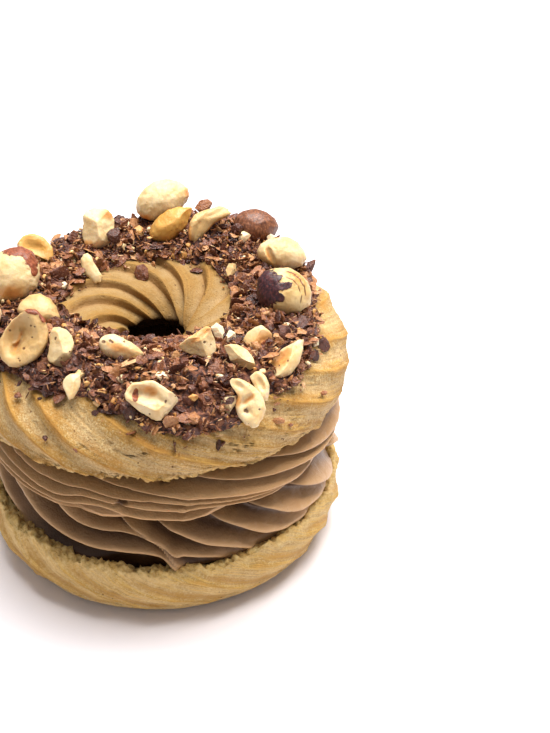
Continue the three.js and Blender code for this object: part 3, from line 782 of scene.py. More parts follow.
cream = {
    "columns": 500,
    "lowerRows": 80,
    "lipRows": 5,
    "upperRows": 86,
    "insideRows": 12,
    # heights where the lower strand starts and where the upper one does, how thick the upper one's lip is,
    # how far out they reach and how deep their folds are
    "foot": 15.2,
    "split": 30.5,
    "lipThick": 0.6,
    "upperReach": 43.3,
    "lowerReach": 41.3,
    "upperFold": 2.5,
    "lowerFold": 3.8,
    "rimReach": 40.3,  # how far out the foot is drawn, to lie on the rim
    # how fast a crest line drops beyond its ends, in millimetres a degree, and the heights it stays between
    "upperRun": (0.13, 27.0, 47.0),
    "lowerRun": (0.42, 9.0, 36.0),
    # degrees round the axis of four places: the lower strand tucked in, the cave under it, the smear where
    # the two sets of crests meet, and the peak that the thick fold ends in
    "tuckedAt": -112,
    "caveAt": -95,
    "smearAt": -79,
    "peakAt": -83.2,
    # what the choux hides: radii from the top's edge in to the hole, down it and out along the underside,
    # the heights of the last four, and the outer corner of the underside
    "innerRadii": [39.5, 10.5, 9, 10, 13.2, 30],
    "innerHeights": [37, 27, 12.35, 12.35],
    "corner": (37.6, 12.35),
    # nicks in the upper strand: degrees round the axis, height, half length, half height, depth
    "nicks": [(-97.3, 37.0, 1.8, 0.45, 0.9), (-89.8, 37.4, 2.0, 0.4, 0.8), (-107, 37.2, 2.2, 0.35, 0.4),
              (-97, 40.3, 1.8, 0.4, 0.4), (-84, 40.6, 1.4, 0.35, 0.3)],
    # the lip of the upper strand: (degrees round the axis, height)
    "lip": [(-180, 32), (-150, 33.6), (-139, 33.8), (-128, 33.2), (-119, 32.6), (-111, 32.4), (-104, 31.4),
            (-95, 30.9), (-82, 30.8), (-78, 30.4), (-70, 31.2), (-60, 31.4), (-50, 30.8), (-40, 30.9),
            (-20, 30.5), (180, 32)],
    # crest lines of the upper strand seen at the front
    "upperCrests": [
        [(-165, 41), (-150, 38.2), (-135, 36.4), (-129, 35.4), (-124, 34.8), (-116, 34.2), (-112, 35),
         (-108, 35.5), (-104, 36), (-101, 35.6), (-98, 34.4), (-95, 33.4), (-91, 32.7), (-86, 32.3),
         (-80, 31.6)],
        [(-150, 40.6), (-135, 38.6), (-127, 37.5), (-123, 36.4), (-116, 36), (-112, 37.2), (-108, 37.9),
         (-104, 37.4), (-100, 37), (-94, 36.3), (-91, 35.8), (-87, 35.3), (-82, 34.8), (-77, 35),
         (-68, 34.1), (-60, 33), (-53, 32)],
        [(-135, 40.8), (-123, 39.5), (-118, 39.6), (-115, 39), (-112, 39.2), (-108, 39.6), (-102, 38.6),
         (-97.6, 38.3), (-94, 38), (-90, 37.8), (-86, 37.5), (-81, 36.8)],
        [(-112, 42.4), (-100, 41), (-90.5, 39.8), (-85, 39.1), (-80, 38), (-77, 37.6), (-70, 36.8),
         (-63, 35.5), (-57, 34.6), (-50, 33.2), (-45, 32.2)],
        [(-95, 43.8), (-85, 42.8), (-77, 42.2), (-71, 41.1), (-65, 40.1), (-59, 39), (-53, 38), (-45, 36.6),
         (-37, 35)],
        [(-64, 43.6), (-52, 41.4), (-45.5, 40.2), (-40, 38.9), (-33, 37.2), (-26, 35.6)],
    ],
    # and of the lower one
    "lowerCrests": [
        [(-158, 31), (-150, 29.2), (-142, 27.3), (-138, 26.3), (-135, 25.2), (-131, 23.6), (-124, 21.8),
         (-116, 20.3), (-109, 19.7), (-100.5, 19.9), (-95, 20.2), (-90.5, 20), (-86.5, 18.5), (-83, 16.2),
         (-80, 13.5)],
        [(-127, 30.6), (-123.6, 28.8), (-119.6, 27.5), (-116, 26.3), (-111, 25.8), (-107, 25.5), (-102, 26),
         (-97.4, 26.2), (-93.3, 25.3), (-89.3, 23.8), (-86.6, 22.3), (-85.1, 20), (-83.7, 18),
         (-82.5, 16.4), (-80, 14)],
        [(-90, 24.5), (-84, 20.8), (-80, 19), (-75.8, 18.3), (-70.7, 17.2), (-66.4, 15.8), (-62, 14)],
        [(-92, 30.5), (-86.7, 28.1), (-82.7, 26.4), (-78, 24.4), (-74.7, 22.6), (-70.6, 21.4),
         (-65.4, 19.8), (-61, 17.8), (-56, 15)],
        [(-74, 30.5), (-69, 28.2), (-63.8, 26.2), (-59.3, 23.7), (-53, 20.4), (-46.4, 18), (-40, 16.8),
         (-34, 16), (-26, 14)],
        [(-60, 30.5), (-54.8, 28.2), (-49, 26.1), (-43.4, 23), (-38.8, 21), (-32.7, 19.4), (-22.6, 17.4),
         (-14, 15)],
        [(-44, 30.5), (-38, 28), (-31, 25), (-23, 21.8), (-13, 18.4), (-4, 15)],
    ],
}


def crestHeights(crests, degrees, fall, floor, ceiling):
    # the height of each crest line at each place round the axis, its corners rounded off
    heights = [np.full(len(degrees), floor), np.full(len(degrees), ceiling)]
    for crest in crests:
        places, levels = np.array(crest).T
        here = onWheel(degrees, (places[0] + places[-1]) / 2)
        level = sum(np.interp(here + aside, places, levels) for aside in (-3, -2, -1, 0, 1, 2, 3)) / 7
        level += fall * np.maximum(0, places[0] - here) - fall * np.maximum(0, here - places[-1])
        heights.append(np.clip(level, floor, ceiling))
    return np.array(heights)


def foldsAt(crests, degrees, height, fall, floor, ceiling):
    # how far below the crests each point lies: 0 on a crest, 1 in the deepest fold; how far it is in the
    # shade of the crest above, the fold's width, and how near it is to a crest, counted more from below
    heights = crestHeights(crests, degrees, fall, floor, ceiling)
    below = np.where(heights <= height, heights, floor).max(axis=0)
    above = np.where(heights > height, heights, ceiling).min(axis=0)
    width = np.maximum(above - below, 0.01)
    climb = (height - below) / width
    sunk = np.maximum(0, 1 - hump(climb, 0, 0.42) - hump(climb, 1, 0.16))
    shade = smooth(0.25, 0.8, climb) * smooth(1.0, 0.92, climb)
    near = np.minimum(0.6 * (height - below), 2 * (above - height))
    return sunk, shade, width, near


def makeCream():
    # the crest lines that go on round the back
    upperCrests = cream["upperCrests"] + [
        [(start, 43.4), (start + 45, 37.6 + sin(start)), (start + 96, 30.4)]
        for start in range(-40, 185, 25)
    ]
    lowerCrests = cream["lowerCrests"] + [
        [(start, 30.8), (start + 12, 25.8 + sin(2 * start)), (start + 36, 15)]
        for start in range(-22, 190, 21)
    ]
    lower, lip, upper, inside = (cream[k] for k in ("lowerRows", "lipRows", "upperRows", "insideRows"))
    outline = plainOval(2 + lower + lip + upper + inside, 26, 28, 15, 12)
    ring = turnedRing("pralineCream", outline, cream["columns"])
    row = rowsOf(ring)
    points = pointsOf(ring)
    angle = np.arctan2(points[:, 1], points[:, 0])
    degrees = np.degrees(angle)
    lipHeight = np.interp(degrees, *np.array(cream["lip"]).T)
    top = lidCut(angle) - 0.25
    foot, thick = cream["foot"], cream["lipThick"]
    # the lower strand, the lip and the upper strand, from the foot up
    climb = np.clip((row - 1) / (lower - 1), 0, 1)
    rise = np.clip((row - 1 - lower - lip) / (upper - 1), 0, 1)
    under = np.clip((row - lower) / (lip + 1), 0, 1)
    lowHeight = foot + (lipHeight - thick - foot) * climb
    highHeight = lipHeight + (top - lipHeight) * rise
    isUpper = row > lower + lip
    height = np.where(isUpper, highHeight, lowHeight + thick * under)

    # the lower strand: folds, the set-in under the lip with painted shade on it, the cave, and the foot
    # drawn out to the rim
    tuckedIn = sideOf(angle, cream["tuckedAt"])
    reach = cream["lowerReach"] - 1.7 * tuckedIn + 0.8 * np.cos(angle)
    plain = around(angle, reach, height)
    wander = degrees + 0.9 * bumps(plain, 9, 1, 31)
    sunk, shade, width, near = foldsAt(lowerCrests, wander, lowHeight, *cream["lowerRun"])
    depth = (cream["lowerFold"] + 0.9 * tuckedIn) * np.clip(width / 5.5, 0, 1.15)
    depth *= 0.15 + 0.85 * smooth(14.5, 20, lowHeight + 5 * tuckedIn)
    underLip = smooth(4.4, 0.4, lipHeight - lowHeight)
    cave = hump(degrees, cream["caveAt"], 11, 4) * smooth(22, 17.5, lowHeight)
    bulge = 1 - 0.05 * (2 * (lowHeight - 16) / 14.5 - 0.9) ** 2
    lowRadius = reach * bulge + 1.4 - depth * sunk - 2.4 * underLip - 0.5 * cave
    toRim = smooth(20, 16, lowHeight) * (1 - 0.5 * hump(degrees, cream["caveAt"], 12, 4))
    lowRadius += toRim * np.maximum(0, cream["rimReach"] - lowRadius)
    # lighter crest lines: paler edges, partly a painted highlight
    crestLow = 0.8 * hump(near, 0, 0.8)
    # painted shade: high in each fold, less near the cave, under the lip, and over the lower strand's front
    # left
    paintedShadeLow = shade * np.clip(width / 2.4, 0, 1) * (1 - 0.6 * smooth(21, 18, lowHeight))
    shaded = smooth(32, 25, lowHeight) * smooth(0.2, 0.9, np.cos(angle - radians(cream["tuckedAt"])))
    paintedShadeLow = np.maximum(paintedShadeLow + 0.75 * shaded * (1 - crestLow), 0.95 * underLip)
    paintedShadeLow = np.clip(paintedShadeLow, 0, 1)

    # the upper strand: folds, its lip and its nicks
    wander = degrees + 0.7 * bumps(plain, 7, 1, 32)
    sunk, shade, width, near = foldsAt(upperCrests, wander, highHeight, *cream["upperRun"])
    depth = cream["upperFold"] * np.clip(width / 2.8, 0.25, 1.25) * (1 + 0.25 * bumps(plain, 8, 1, 33))
    bulge = 1 - 0.07 * np.abs(2 * (highHeight - cream["split"]) / 12.7 - 0.8) ** 3
    highRadius = cream["upperReach"] * bulge + 0.6 - depth * sunk
    highRadius -= 0.5 * smooth(0.8, 0, highHeight - lipHeight)
    # lighter crest lines: paler edges, partly a painted highlight
    crestHigh = 0.75 * hump(near, 0, 0.6)
    # painted shade high in each fold and just under the lid's edge
    paintedShadeHigh = shade * np.clip(width / 1.4, 0.5, 1)
    paintedShadeHigh = np.maximum(paintedShadeHigh, 0.6 * smooth(2.2, 0.2, top - highHeight))
    frayed = 0.5 * bumps(plain, 1.2, 2, 37)
    for middle, level, long, tall, deep in cream["nicks"]:
        away = np.hypot((degrees - middle) * 0.75 / long, (highHeight - level) / tall) + frayed
        nick = smooth(1.1, 0.4, away)
        highRadius -= deep * nick
        # painted shade in the nick
        paintedShadeHigh = np.maximum(paintedShadeHigh, 0.9 * nick)
        crestHigh = crestHigh * (1 - nick)

    # both as one, with the smear, the peak and a light unevenness
    radius = np.where(isUpper, highRadius, lowRadius + (highRadius - lowRadius) * smooth(0, 1, under) * 0.9)
    smear = hump(degrees, cream["smearAt"], 2.6) * smooth(30, 32, height) * smooth(39.5, 37, height)
    radius = radius + smear * (0.5 + 0.5 * bumps(plain, 1.6, 2, 34))
    radius = radius + 1.8 * (hump(degrees, cream["peakAt"], 2.2) * smooth(24, 19, height) * (~isUpper))
    radius = radius + 0.1 * bumps(plain, 3, 2, 35) + 0.05 * bumps(plain, 1, 2, 36)

    # the top, the hole and the underside, which the choux hides
    within = row - 1 - lower - lip - upper
    hidden = within >= 0
    passed = within / inside
    steps = np.linspace(0, 1, 6)
    innerHeight = np.interp(passed, steps[2:], cream["innerHeights"])
    fromTop = top + (cream["innerHeights"][0] - top) * np.maximum(0, passed - 0.2) / 0.2
    innerHeight = np.where(passed < 0.4, fromTop, innerHeight)
    radius = np.where(hidden, np.interp(passed, steps, cream["innerRadii"]), radius)
    height = np.where(hidden, innerHeight, height)
    radius = np.where(row == 0, cream["corner"][0], radius)
    height = np.where(row == 0, cream["corner"][1], height)
    movePoints(ring, around(angle, radius, height))
    setLayer(ring, "crest", np.where(hidden, 0, np.where(isUpper, crestHigh, crestLow)))
    setLayer(ring, "hollow", np.where(hidden, 1, np.where(isUpper, paintedShadeHigh, paintedShadeLow)))
    facesOut(ring)
    finished(ring, creamSatin, "praline_cream", "praline_cream")


makeCream()


def seenFrom(place):
    # right, up and towards, as rows, for something at that place as it is looked at from the front
    towards = np.array(view["at"]) - place
    towards /= np.linalg.norm(towards)
    right = np.cross((0, 0, 1), towards)
    right /= np.linalg.norm(right)
    return np.stack([right, np.cross(towards, right), towards])


def spotsOver(across, up, spots):
    # 1 in the middle of an oval (across, up, half length, half width, turn), 0.5 on its rim
    amount = np.zeros(len(across))
    for x, y, long, wide, turn in spots:
        aside, above = across - x, up - y
        along = (aside * cos(radians(turn)) + above * sin(radians(turn))) / long
        athwart = (above * cos(radians(turn)) - aside * sin(radians(turn))) / wide
        amount = np.maximum(amount, 1 - 0.5 * np.hypot(along, athwart))
    return np.clip(amount, 0, 1)


sectors = 48  # directions in which a lump is fitted to its outline


def carved(points, place, look):
    # fits a rounded lump to its outline, then cuts its flats and presses its hollows
    axes = seenFrom(place)
    local = (points - place) @ axes.T
    if "outline" in look:
        corners = np.array(look["outline"])
        following = np.roll(corners, -1, 0)
        line = np.concatenate([np.linspace(a, b, 8, endpoint=False) for a, b in zip(corners, following)])
        middle = np.array(look.get("middle", (corners.max(0) + corners.min(0)) / 2))
        edge = line - middle
        edgeAt = np.arctan2(edge[:, 1], edge[:, 0])
        order = np.argsort(edgeAt)
        flat = local[:, :2] - (local[:, :2].max(0) + local[:, :2].min(0)) / 2
        bearing = np.arctan2(flat[:, 1], flat[:, 0])
        # how far the lump reaches in each direction, and how far its outline does
        sector = np.floor((bearing + pi) / (2 * pi) * sectors).astype(int) % sectors
        limit = np.zeros(sectors)
        np.maximum.at(limit, sector, np.hypot(flat[:, 0], flat[:, 1]))
        middles = (np.arange(sectors) + 0.5) * 2 * pi / sectors - pi
        now = np.interp(bearing, middles, limit, period=2 * pi)
        wanted = np.interp(bearing, edgeAt[order], np.hypot(edge[:, 0], edge[:, 1])[order], period=2 * pi)
        local[:, :2] = middle + flat * (wanted / now)[:, None]
    for right, up, towards, distance in look.get("cuts", []):
        normal = np.array([right, up, towards]) / np.linalg.norm((right, up, towards))
        local -= normal * (0.92 * np.maximum(0, local @ normal - distance))[:, None]
    for *spot, depth in look.get("hollows", []):
        rho = 2 - 2 * spotsOver(local[:, 0], local[:, 1], [spot])
        local[:, 2] -= depth * np.maximum(0, 1 - rho ** 2) ** 1.5 * (local[:, 2] > -0.5)
    return place + local @ axes


# each nut: where its middle lies (degrees round the axis, radius, height), its outline as looked at
# from the front, the flats cut on it, its hollows, and its spots of toast, skin and dark marks
nuts = {
    "nut_whole_back": {
        "at": (90, 32.6, 70.9),
        "finish": "pale",
        "outline": [(-6.8, -1.6), (-6.3, 0.9), (-4.6, 3.0), (-2.1, 4.6), (1.2, 5.0), (4.5, 4.2), (6.5, 2.3),
                    (6.7, 0.5), (5.7, -1.3), (4.1, -3.6), (0.8, -5.0), (-2.6, -5.4), (-5.4, -4.6),
                    (-6.6, -3.2)],
        "hollows": [(6.6, -0.9, 1.6, 1.2, 0, 1.4)],
        "toast": [(6.3, 1.2, 0.9, 1.6, 20), (-4.8, -4.6, 1.6, 0.9, 0)],
    },
    "nut_half_golden": {
        "at": (86, 23.8, 66.4),
        "finish": "golden",
        "outline": [(-4.8, -0.2), (-4.1, 2.0), (-2.1, 4.1), (0.4, 5.6), (3.3, 6.3), (6.4, 5.9), (5.8, 4.0),
                    (4.9, 2.0), (3.8, 0.2), (2.1, -1.3), (0, -2.4), (-2.5, -2.4), (-4.2, -1.6)],
        "cuts": [(-0.35, 0.5, 0.8, 2.7), (0.75, -0.3, 0.6, 2.6)],
    },
    "nut_crescent_back": {
        "at": (65, 27.9, 67.3),
        "finish": "tan",
        "outline": [(-5.4, -1.2), (-5.0, 1.0), (-3.7, 2.8), (-1.0, 4.2), (2.3, 4.9), (5.5, 4.5), (6.8, 3.4),
                    (5.5, 2.3), (3.4, 1.5), (1.1, 0.3), (-0.3, -1.0), (-1.5, -2.7), (-2.8, -4.4),
                    (-4.1, -5.0), (-5.2, -4.0)],
        "middle": (-2.0, 1.3),
        "toast": [(-5.2, -1.6, 0.8, 2.2, 0), (-4.4, -4.6, 1.0, 0.6, 0), (1.2, 0.2, 2.6, 0.5, 42)],
    },
    "nut_skin_on": {
        "at": (50, 35.4, 66.2),
        "finish": "skin",
        "outline": [(-4.6, 2.7), (-2.7, 3.9), (0.2, 4.2), (3.0, 3.5), (5.1, 2.0), (5.9, -0.1), (5.0, -2.4),
                    (2.6, -3.9), (-0.7, -4.2), (-3.4, -3.2), (-4.9, -0.6), (-5.1, 1.2)],
        "skin": [(0.5, 0, 20, 20, 0)],
    },
    "nut_whole_right": {
        "at": (25, 32.7, 66.8),
        "finish": "pale",
        "outline": [(-6.1, -0.1), (-5.4, 1.5), (-3.8, 2.7), (-1.5, 3.3), (1.3, 3.6), (3.7, 2.4), (5.2, 0.3),
                    (5.8, -1.6), (5.0, -3.4), (2.9, -4.3), (0.2, -4.4), (-2.2, -3.8), (-4.6, -2.8),
                    (-5.8, -1.5)],
        "hollows": [(-3.0, -0.8, 2.8, 0.9, -64, 1.1), (-0.6, 2.9, 2.2, 0.6, 8, 0.5)],
        "toast": [(-3.2, -1.2, 2.2, 0.35, -64)],
    },
    "nut_whole_dark": {
        "at": (-9, 31.2, 67.2),
        "finish": "dark",
        "outline": [(-7.0, 0.9), (-6.8, 2.7), (-5.5, 4.3), (-3.0, 5.2), (0, 5.3), (2.6, 4.1), (4.5, 2.1),
                    (5.4, -0.5), (4.8, -3.1), (2.8, -4.9), (0, -5.5), (-3.0, -5.0), (-5.4, -4.0),
                    (-6.7, -2.5), (-7.1, -1.0)],
        "skin": [(-5.0, 0.6, 3.2, 4.6, 0), (-1.4, 1.0, 2.6, 0.9, 12), (-2.2, -1.4, 1.6, 1.0, -24),
                 (-2.6, 2.6, 1.6, 0.7, 34)],
        "toast": [(1.8, 3.4, 2.4, 1.0, -20)],
        "marks": [(0.6, 4.2, 1.3, 0.16, -16), (2.0, 3.3, 1.1, 0.15, -36), (3.1, 1.9, 1.2, 0.16, -60),
                  (3.9, 0.1, 1.3, 0.16, -82), (1.5, 2.1, 1.0, 0.13, -48), (2.6, 0.5, 1.0, 0.13, -72),
                  (0.2, 2.9, 1.0, 0.13, -22), (3.0, -1.8, 1.0, 0.13, -100)],
    },
    "nut_whole_patch": {
        "at": (176, 32.6, 68),
        "finish": "pale",
        "outline": [(-5.9, 0), (-4.9, 3.0), (-2.4, 4.9), (0.2, 5.6), (2.8, 5.6), (4.8, 4.1), (5.8, 1.8),
                    (6.1, -1.3), (5.0, -4.3), (2.4, -6.2), (-0.8, -6.8), (-3.8, -6.5), (-5.7, -3.8)],
        "skin": [(1.6, 4.7, 3.6, 1.3, -6), (4.3, 2.4, 1.5, 2.4, 15), (4.7, -0.3, 0.8, 1.3, 0)],
        "toast": [(-1.2, -4.6, 2.6, 1.4, 0)],
    },
    "nut_half_left": {
        "at": (151, 34.3, 66.4),
        "finish": "golden",
        "outline": [(-4.1, 1.3), (-2.4, 3.0), (0.2, 3.3), (2.7, 2.0), (4.4, -0.4), (4.5, -2.7), (3.0, -4.3),
                    (0.9, -4.8), (-1.1, -3.8), (-3.0, -2.0), (-4.0, -0.3)],
        "cuts": [(0.1, 0.25, 0.95, 1.8)],
        "hollows": [(0, -0.5, 3.3, 2.2, -38, 0.9)],
    },
    "nut_half_hollow": {
        "at": (-141.5, 34.8, 65),
        "finish": "tan",
        "outline": [(-5.0, -0.8), (-4.5, 0.8), (-2.8, 3.2), (-1.1, 4.9), (0.4, 5.9), (2.2, 6.4), (4.0, 5.9),
                    (5.3, 4.2), (5.9, 2.4), (6.0, 0.5), (5.5, -1.4), (4.3, -3.2), (2.4, -4.8), (0.4, -5.6),
                    (-1.7, -5.8), (-3.4, -5.4), (-4.6, -3.9), (-5.1, -2.5)],
        "cuts": [(-0.1, 0.1, 1, 3.4)],
        "hollows": [(-0.7, 1.1, 5.2, 3.0, 62, 2.2), (-0.8, -0.2, 3.8, 1.0, 62, 1.8)],
        "skin": [(3.3, 6.1, 2.5, 1.0, -18), (5.0, 4.6, 0.7, 1.6, 12)],
        "toast": [(-0.9, -0.5, 2.4, 0.35, 62)],
        "marks": [(-2.1, 2.3, 0.25), (2.3, 2.8, 0.24), (2.2, 0.3, 0.22), (0.3, -1.9, 0.3),
                  (-0.9, -4.4, 0.22), (-4.0, -4.9, 0.3), (3.1, 2.5, 0.2), (-3.7, -5.3, 0.25),
                  (-1.1, -3.9, 0.18)],
    },
    "nut_chunk_left": {
        "at": (-126, 31.4, 65.6),
        "finish": "pale",
        "outline": [(-1.6, 3.4), (-0.9, 4.5), (0.4, 4.4), (2.0, 3.6), (3.0, 2.2), (3.3, 0.7), (3.0, -0.9),
                    (2.3, -2.5), (1.2, -4.1), (0.4, -4.5), (-1.2, -3.9), (-2.5, -3.0), (-3.1, -1.9),
                    (-2.5, -0.6), (-1.9, 1.0), (-1.8, 2.5)],
        "cuts": [(0.55, 0.3, 0.8, 2.3), (-0.6, 0.1, 0.8, 1.7), (0.1, -0.7, 0.7, 2.9)],
        "marks": [(-0.6, 2.1, 0.22), (-0.75, 1.8, 0.2), (0.2, -2.4, 0.15), (2.2, -1.2, 0.2)],
    },
    "nut_round_left": {
        "at": (-161, 27.2, 66),
        "finish": "tan",
        "outline": [(-4.6, -0.7), (-3.5, 1.2), (-1.4, 2.4), (1.1, 2.5), (3.2, 1.2), (4.5, -0.9),
                    (5.1, -3.5), (3.2, -5.0), (0.2, -5.2), (-3.1, -3.8)],
        "cuts": [(0.3, 0.5, 0.8, 2.6)],
    },
    "nut_sliver_inner": {
        "at": (144, 20, 64.2),
        "finish": "pale",
        "outline": [(-2.3, 1.8), (-1.5, 2.9), (-0.3, 3.2), (0.6, 2.4), (1.1, 0.3), (2.1, -1.5), (3.0, -3.0),
                    (2.6, -4.1), (0.9, -4.9), (-0.1, -3.6), (-1.4, -1.9), (-2.2, -0.2)],
        "cuts": [(0.1, 0.2, 0.95, 1.0)],
    },
    "nut_chunk_back": {
        "at": (123, 28.2, 67.6),
        "finish": "pale",
        "outline": [(-3.6, 3.3), (-2.7, 4.8), (-0.2, 5.1), (2.9, 4.4), (4.0, 3.2), (4.2, 1.3), (3.9, -1.9),
                    (2.7, -3.9), (0.6, -4.8), (-1.8, -4.8), (-3.6, -3.9), (-4.0, -1.7), (-3.5, 0.9)],
        "cuts": [(-0.55, 0, 0.8, 2.6), (0.6, 0.1, 0.8, 2.5), (0, 0.7, 0.7, 3.3)],
        "toast": [(2.4, 3.2, 2.0, 1.1, 0), (-2.9, -3.6, 1.2, 0.9, 0)],
    },
    "nut_buried_front": {
        "at": (-101, 25.6, 65.6),
        "finish": "pale",
        "outline": [(-5.2, 1.0), (-4.7, 2.2), (-3.3, 2.9), (-1.7, 2.9), (0.1, 2.0), (1.9, 0.8), (3.4, -0.5),
                    (4.4, -1.7), (4.0, -2.9), (1.8, -3.3), (-0.8, -3.0), (-3.4, -1.8), (-4.9, -0.4)],
        "toast": [(-1.0, -0.2, 2.6, 0.9, -28)],
        "marks": [(-4.1, 1.4, 0.4), (-2.6, 1.5, 0.35), (-2.2, 1.2, 0.3), (0.4, 1.0, 0.25)],
    },
    "nut_toasted_chunk": {
        "at": (-64, 25.4, 65.6),
        "finish": "pale",
        "outline": [(-4.2, -0.9), (-2.5, 0.5), (-0.3, 2.0), (1.9, 3.2), (2.9, 2.8), (3.4, 1.1), (4.2, -0.8),
                    (4.1, -2.2), (3.2, -3.6), (1.7, -4.0), (0.1, -3.4), (-1.8, -2.9), (-3.5, -2.2)],
        "cuts": [(-0.35, -0.35, 0.85, 1.7), (0.65, 0, 0.75, 2.2), (-0.3, 0.75, 0.6, 1.9)],
        "hollows": [(0.9, 1.3, 2.3, 0.9, 38, 0.7)],
        "toast": [(0.8, 1.4, 2.6, 1.0, 38), (-0.6, 0.2, 1.2, 0.5, 38)],
        "marks": [(1.5, -0.4, 0.28), (2.9, -0.9, 0.18), (-0.6, 1.7, 0.18)],
    },
    "nut_pale_half": {
        "at": (-53.5, 33.2, 65),
        "finish": "pale",
        "outline": [(-3.2, 1.7), (-1.5, 2.0), (0.3, 1.7), (2.2, 0.6), (3.5, -1.0), (4.0, -2.7), (3.7, -3.7),
                    (2.4, -4.0), (0.5, -3.6), (-1.1, -2.6), (-1.9, -0.9), (-2.6, 0.5)],
        "cuts": [(-0.3, -0.25, 0.9, 1.5), (0.45, 0.45, 0.8, 1.2)],
    },
    "nut_buried_right": {
        "at": (-36, 30.2, 65),
        "finish": "pale",
        "outline": [(-3.6, -2.0), (-2.7, -0.5), (-1.3, 0.7), (0.4, 1.2), (1.8, 0.2), (2.9, -1.1),
                    (2.7, -3.0), (0.7, -4.5), (-1.6, -4.4), (-3.2, -3.4)],
        "cuts": [(-0.5, 0.3, 0.8, 1.4), (0.5, -0.2, 0.85, 1.6)],
        "toast": [(0.9, -2.2, 2.2, 1.7, 20)],
        "skin": [(1.4, -3.2, 1.5, 1.0, 20)],
    },
    "nut_teardrop": {
        "at": (-37, 38.6, 62.4),
        "finish": "pale",
        "outline": [(-5.4, -3.1), (-4.2, -1.1), (-2.0, 0.9), (0.4, 2.4), (2.4, 3.7), (3.5, 3.4), (3.5, 1.4),
                    (2.3, -2.0), (0.6, -4.4), (-1.8, -5.4), (-4.2, -4.8)],
        "cuts": [(-0.45, 0.5, 0.75, 0.9)],
        "hollows": [(-1.4, -0.7, 3.4, 1.2, 42, 0.6)],
        "toast": [(-1.5, -0.7, 3.4, 1.1, 42), (-1.1, -1.6, 1.6, 0.7, 42)],
        "marks": [(-2.3, -0.2, 0.22), (-0.3, -1.4, 0.25)],
    },
    "nut_hollow_slab": {
        "at": (-86.4, 39.8, 62),
        "finish": "pale",
        "outline": [(-5.9, 1.7), (-5.3, 2.8), (-4.2, 3.9), (-2.1, 4.3), (0.2, 4.2), (1.7, 3.1), (4.6, 1.1),
                    (6.1, -0.2), (6.5, -1.0), (4.7, -2.4), (2.8, -3.8), (1.4, -4.8), (0.4, -5.1),
                    (-0.9, -4.4), (-2.6, -3.0), (-4.5, -1.0), (-5.7, 0.4)],
        "cuts": [(0, 0.15, 1, 1.9), (0.55, -0.35, 0.7, 2.9), (-0.35, -0.6, 0.7, 2.5)],
        "hollows": [(-1.3, 1.3, 3.7, 1.8, -22, 1.3), (-3.4, 1.5, 1.2, 1.5, 80, 0.8),
                    (2.4, -0.6, 1.8, 0.9, -30, 0.5)],
        "skin": [(-3.5, 1.3, 1.5, 0.62, 80)],
        "toast": [(-0.5, 2.1, 1.5, 0.8, -8), (0.1, 1.5, 0.9, 0.6, 0)],
        "marks": [(2.6, -0.4, 0.25), (2.5, -0.7, 0.16), (-0.9, -2.9, 0.2), (4.7, 0.5, 0.16),
                  (-1.8, -1.2, 0.12)],
    },
    "nut_crescent_front": {
        "at": (-59, 43, 59.2),
        "finish": "pale",
        "outline": [(-4.1, 4.7), (-3.3, 5.4), (-1.9, 5.3), (-0.1, 4.6), (1.5, 3.5), (2.8, 1.9), (3.6, 0.3),
                    (3.9, -1.5), (3.1, -3.4), (2.2, -5.0), (0.8, -5.5), (-0.5, -5.2), (-1.4, -3.9),
                    (-2.3, -2.5), (-2.6, -0.9), (-2.5, 0.6), (-2.3, 1.7), (-3.0, 2.8), (-3.8, 3.7)],
        "cuts": [(0, 0, 1, 1.7)],
        "hollows": [(-0.4, 0.4, 2.4, 1.0, 40, 0.8), (-0.2, -1.8, 1.6, 0.8, -30, 0.5),
                    (-1.8, 3.6, 1.4, 0.8, -40, 0.4)],
        "toast": [(-2.2, 0.6, 0.7, 1.4, 0), (0.2, 0.8, 1.6, 0.4, 36)],
        "marks": [(-0.5, -1.6, 0.42), (2.4, -1.4, 0.22), (-0.2, -1.9, 0.3), (0.4, 3.6, 0.14)],
    },
    "nut_chip_front": {
        "at": (-51, 40.4, 60.9),
        "finish": "pale",
        "outline": [(-3.1, 1.0), (-1.6, 2.2), (-0.5, 2.2), (0.5, 1.1), (1.2, -0.8), (1.2, -2.7),
                    (0.8, -4.4), (-0.3, -4.2), (-1.3, -2.6), (-2.2, -1.0)],
        "cuts": [(-0.2, 0.1, 1, 1.3)],
        "hollows": [(-0.6, -0.6, 2.0, 0.8, -65, 0.7)],
    },
    "nut_wedge_left": {
        "at": (-113.5, 37.8, 62),
        "finish": "pale",
        "outline": [(-1.7, 1.0), (-1.0, 2.1), (0.3, 2.9), (1.5, 2.9), (2.2, 2.2), (2.3, 1.0), (1.9, -0.3),
                    (1.0, -1.7), (0.2, -2.8), (-0.8, -3.0), (-1.3, -1.6), (-1.7, -0.2)],
        "cuts": [(-0.45, 0.2, 0.85, 1.0), (0.6, -0.1, 0.8, 1.3)],
    },
    "nut_chunk_side": {"at": (-165, 38.4, 63.2), "finish": "pale"},
    "nut_chip_rear": {"at": (72, 42.6, 58.1), "finish": "pale"},
    "nut_sliver_rear": {"at": (118, 42.6, 58.1), "finish": "tan"},
}

nutGrain = 0.2  # the nuts' mesh size in millimetres


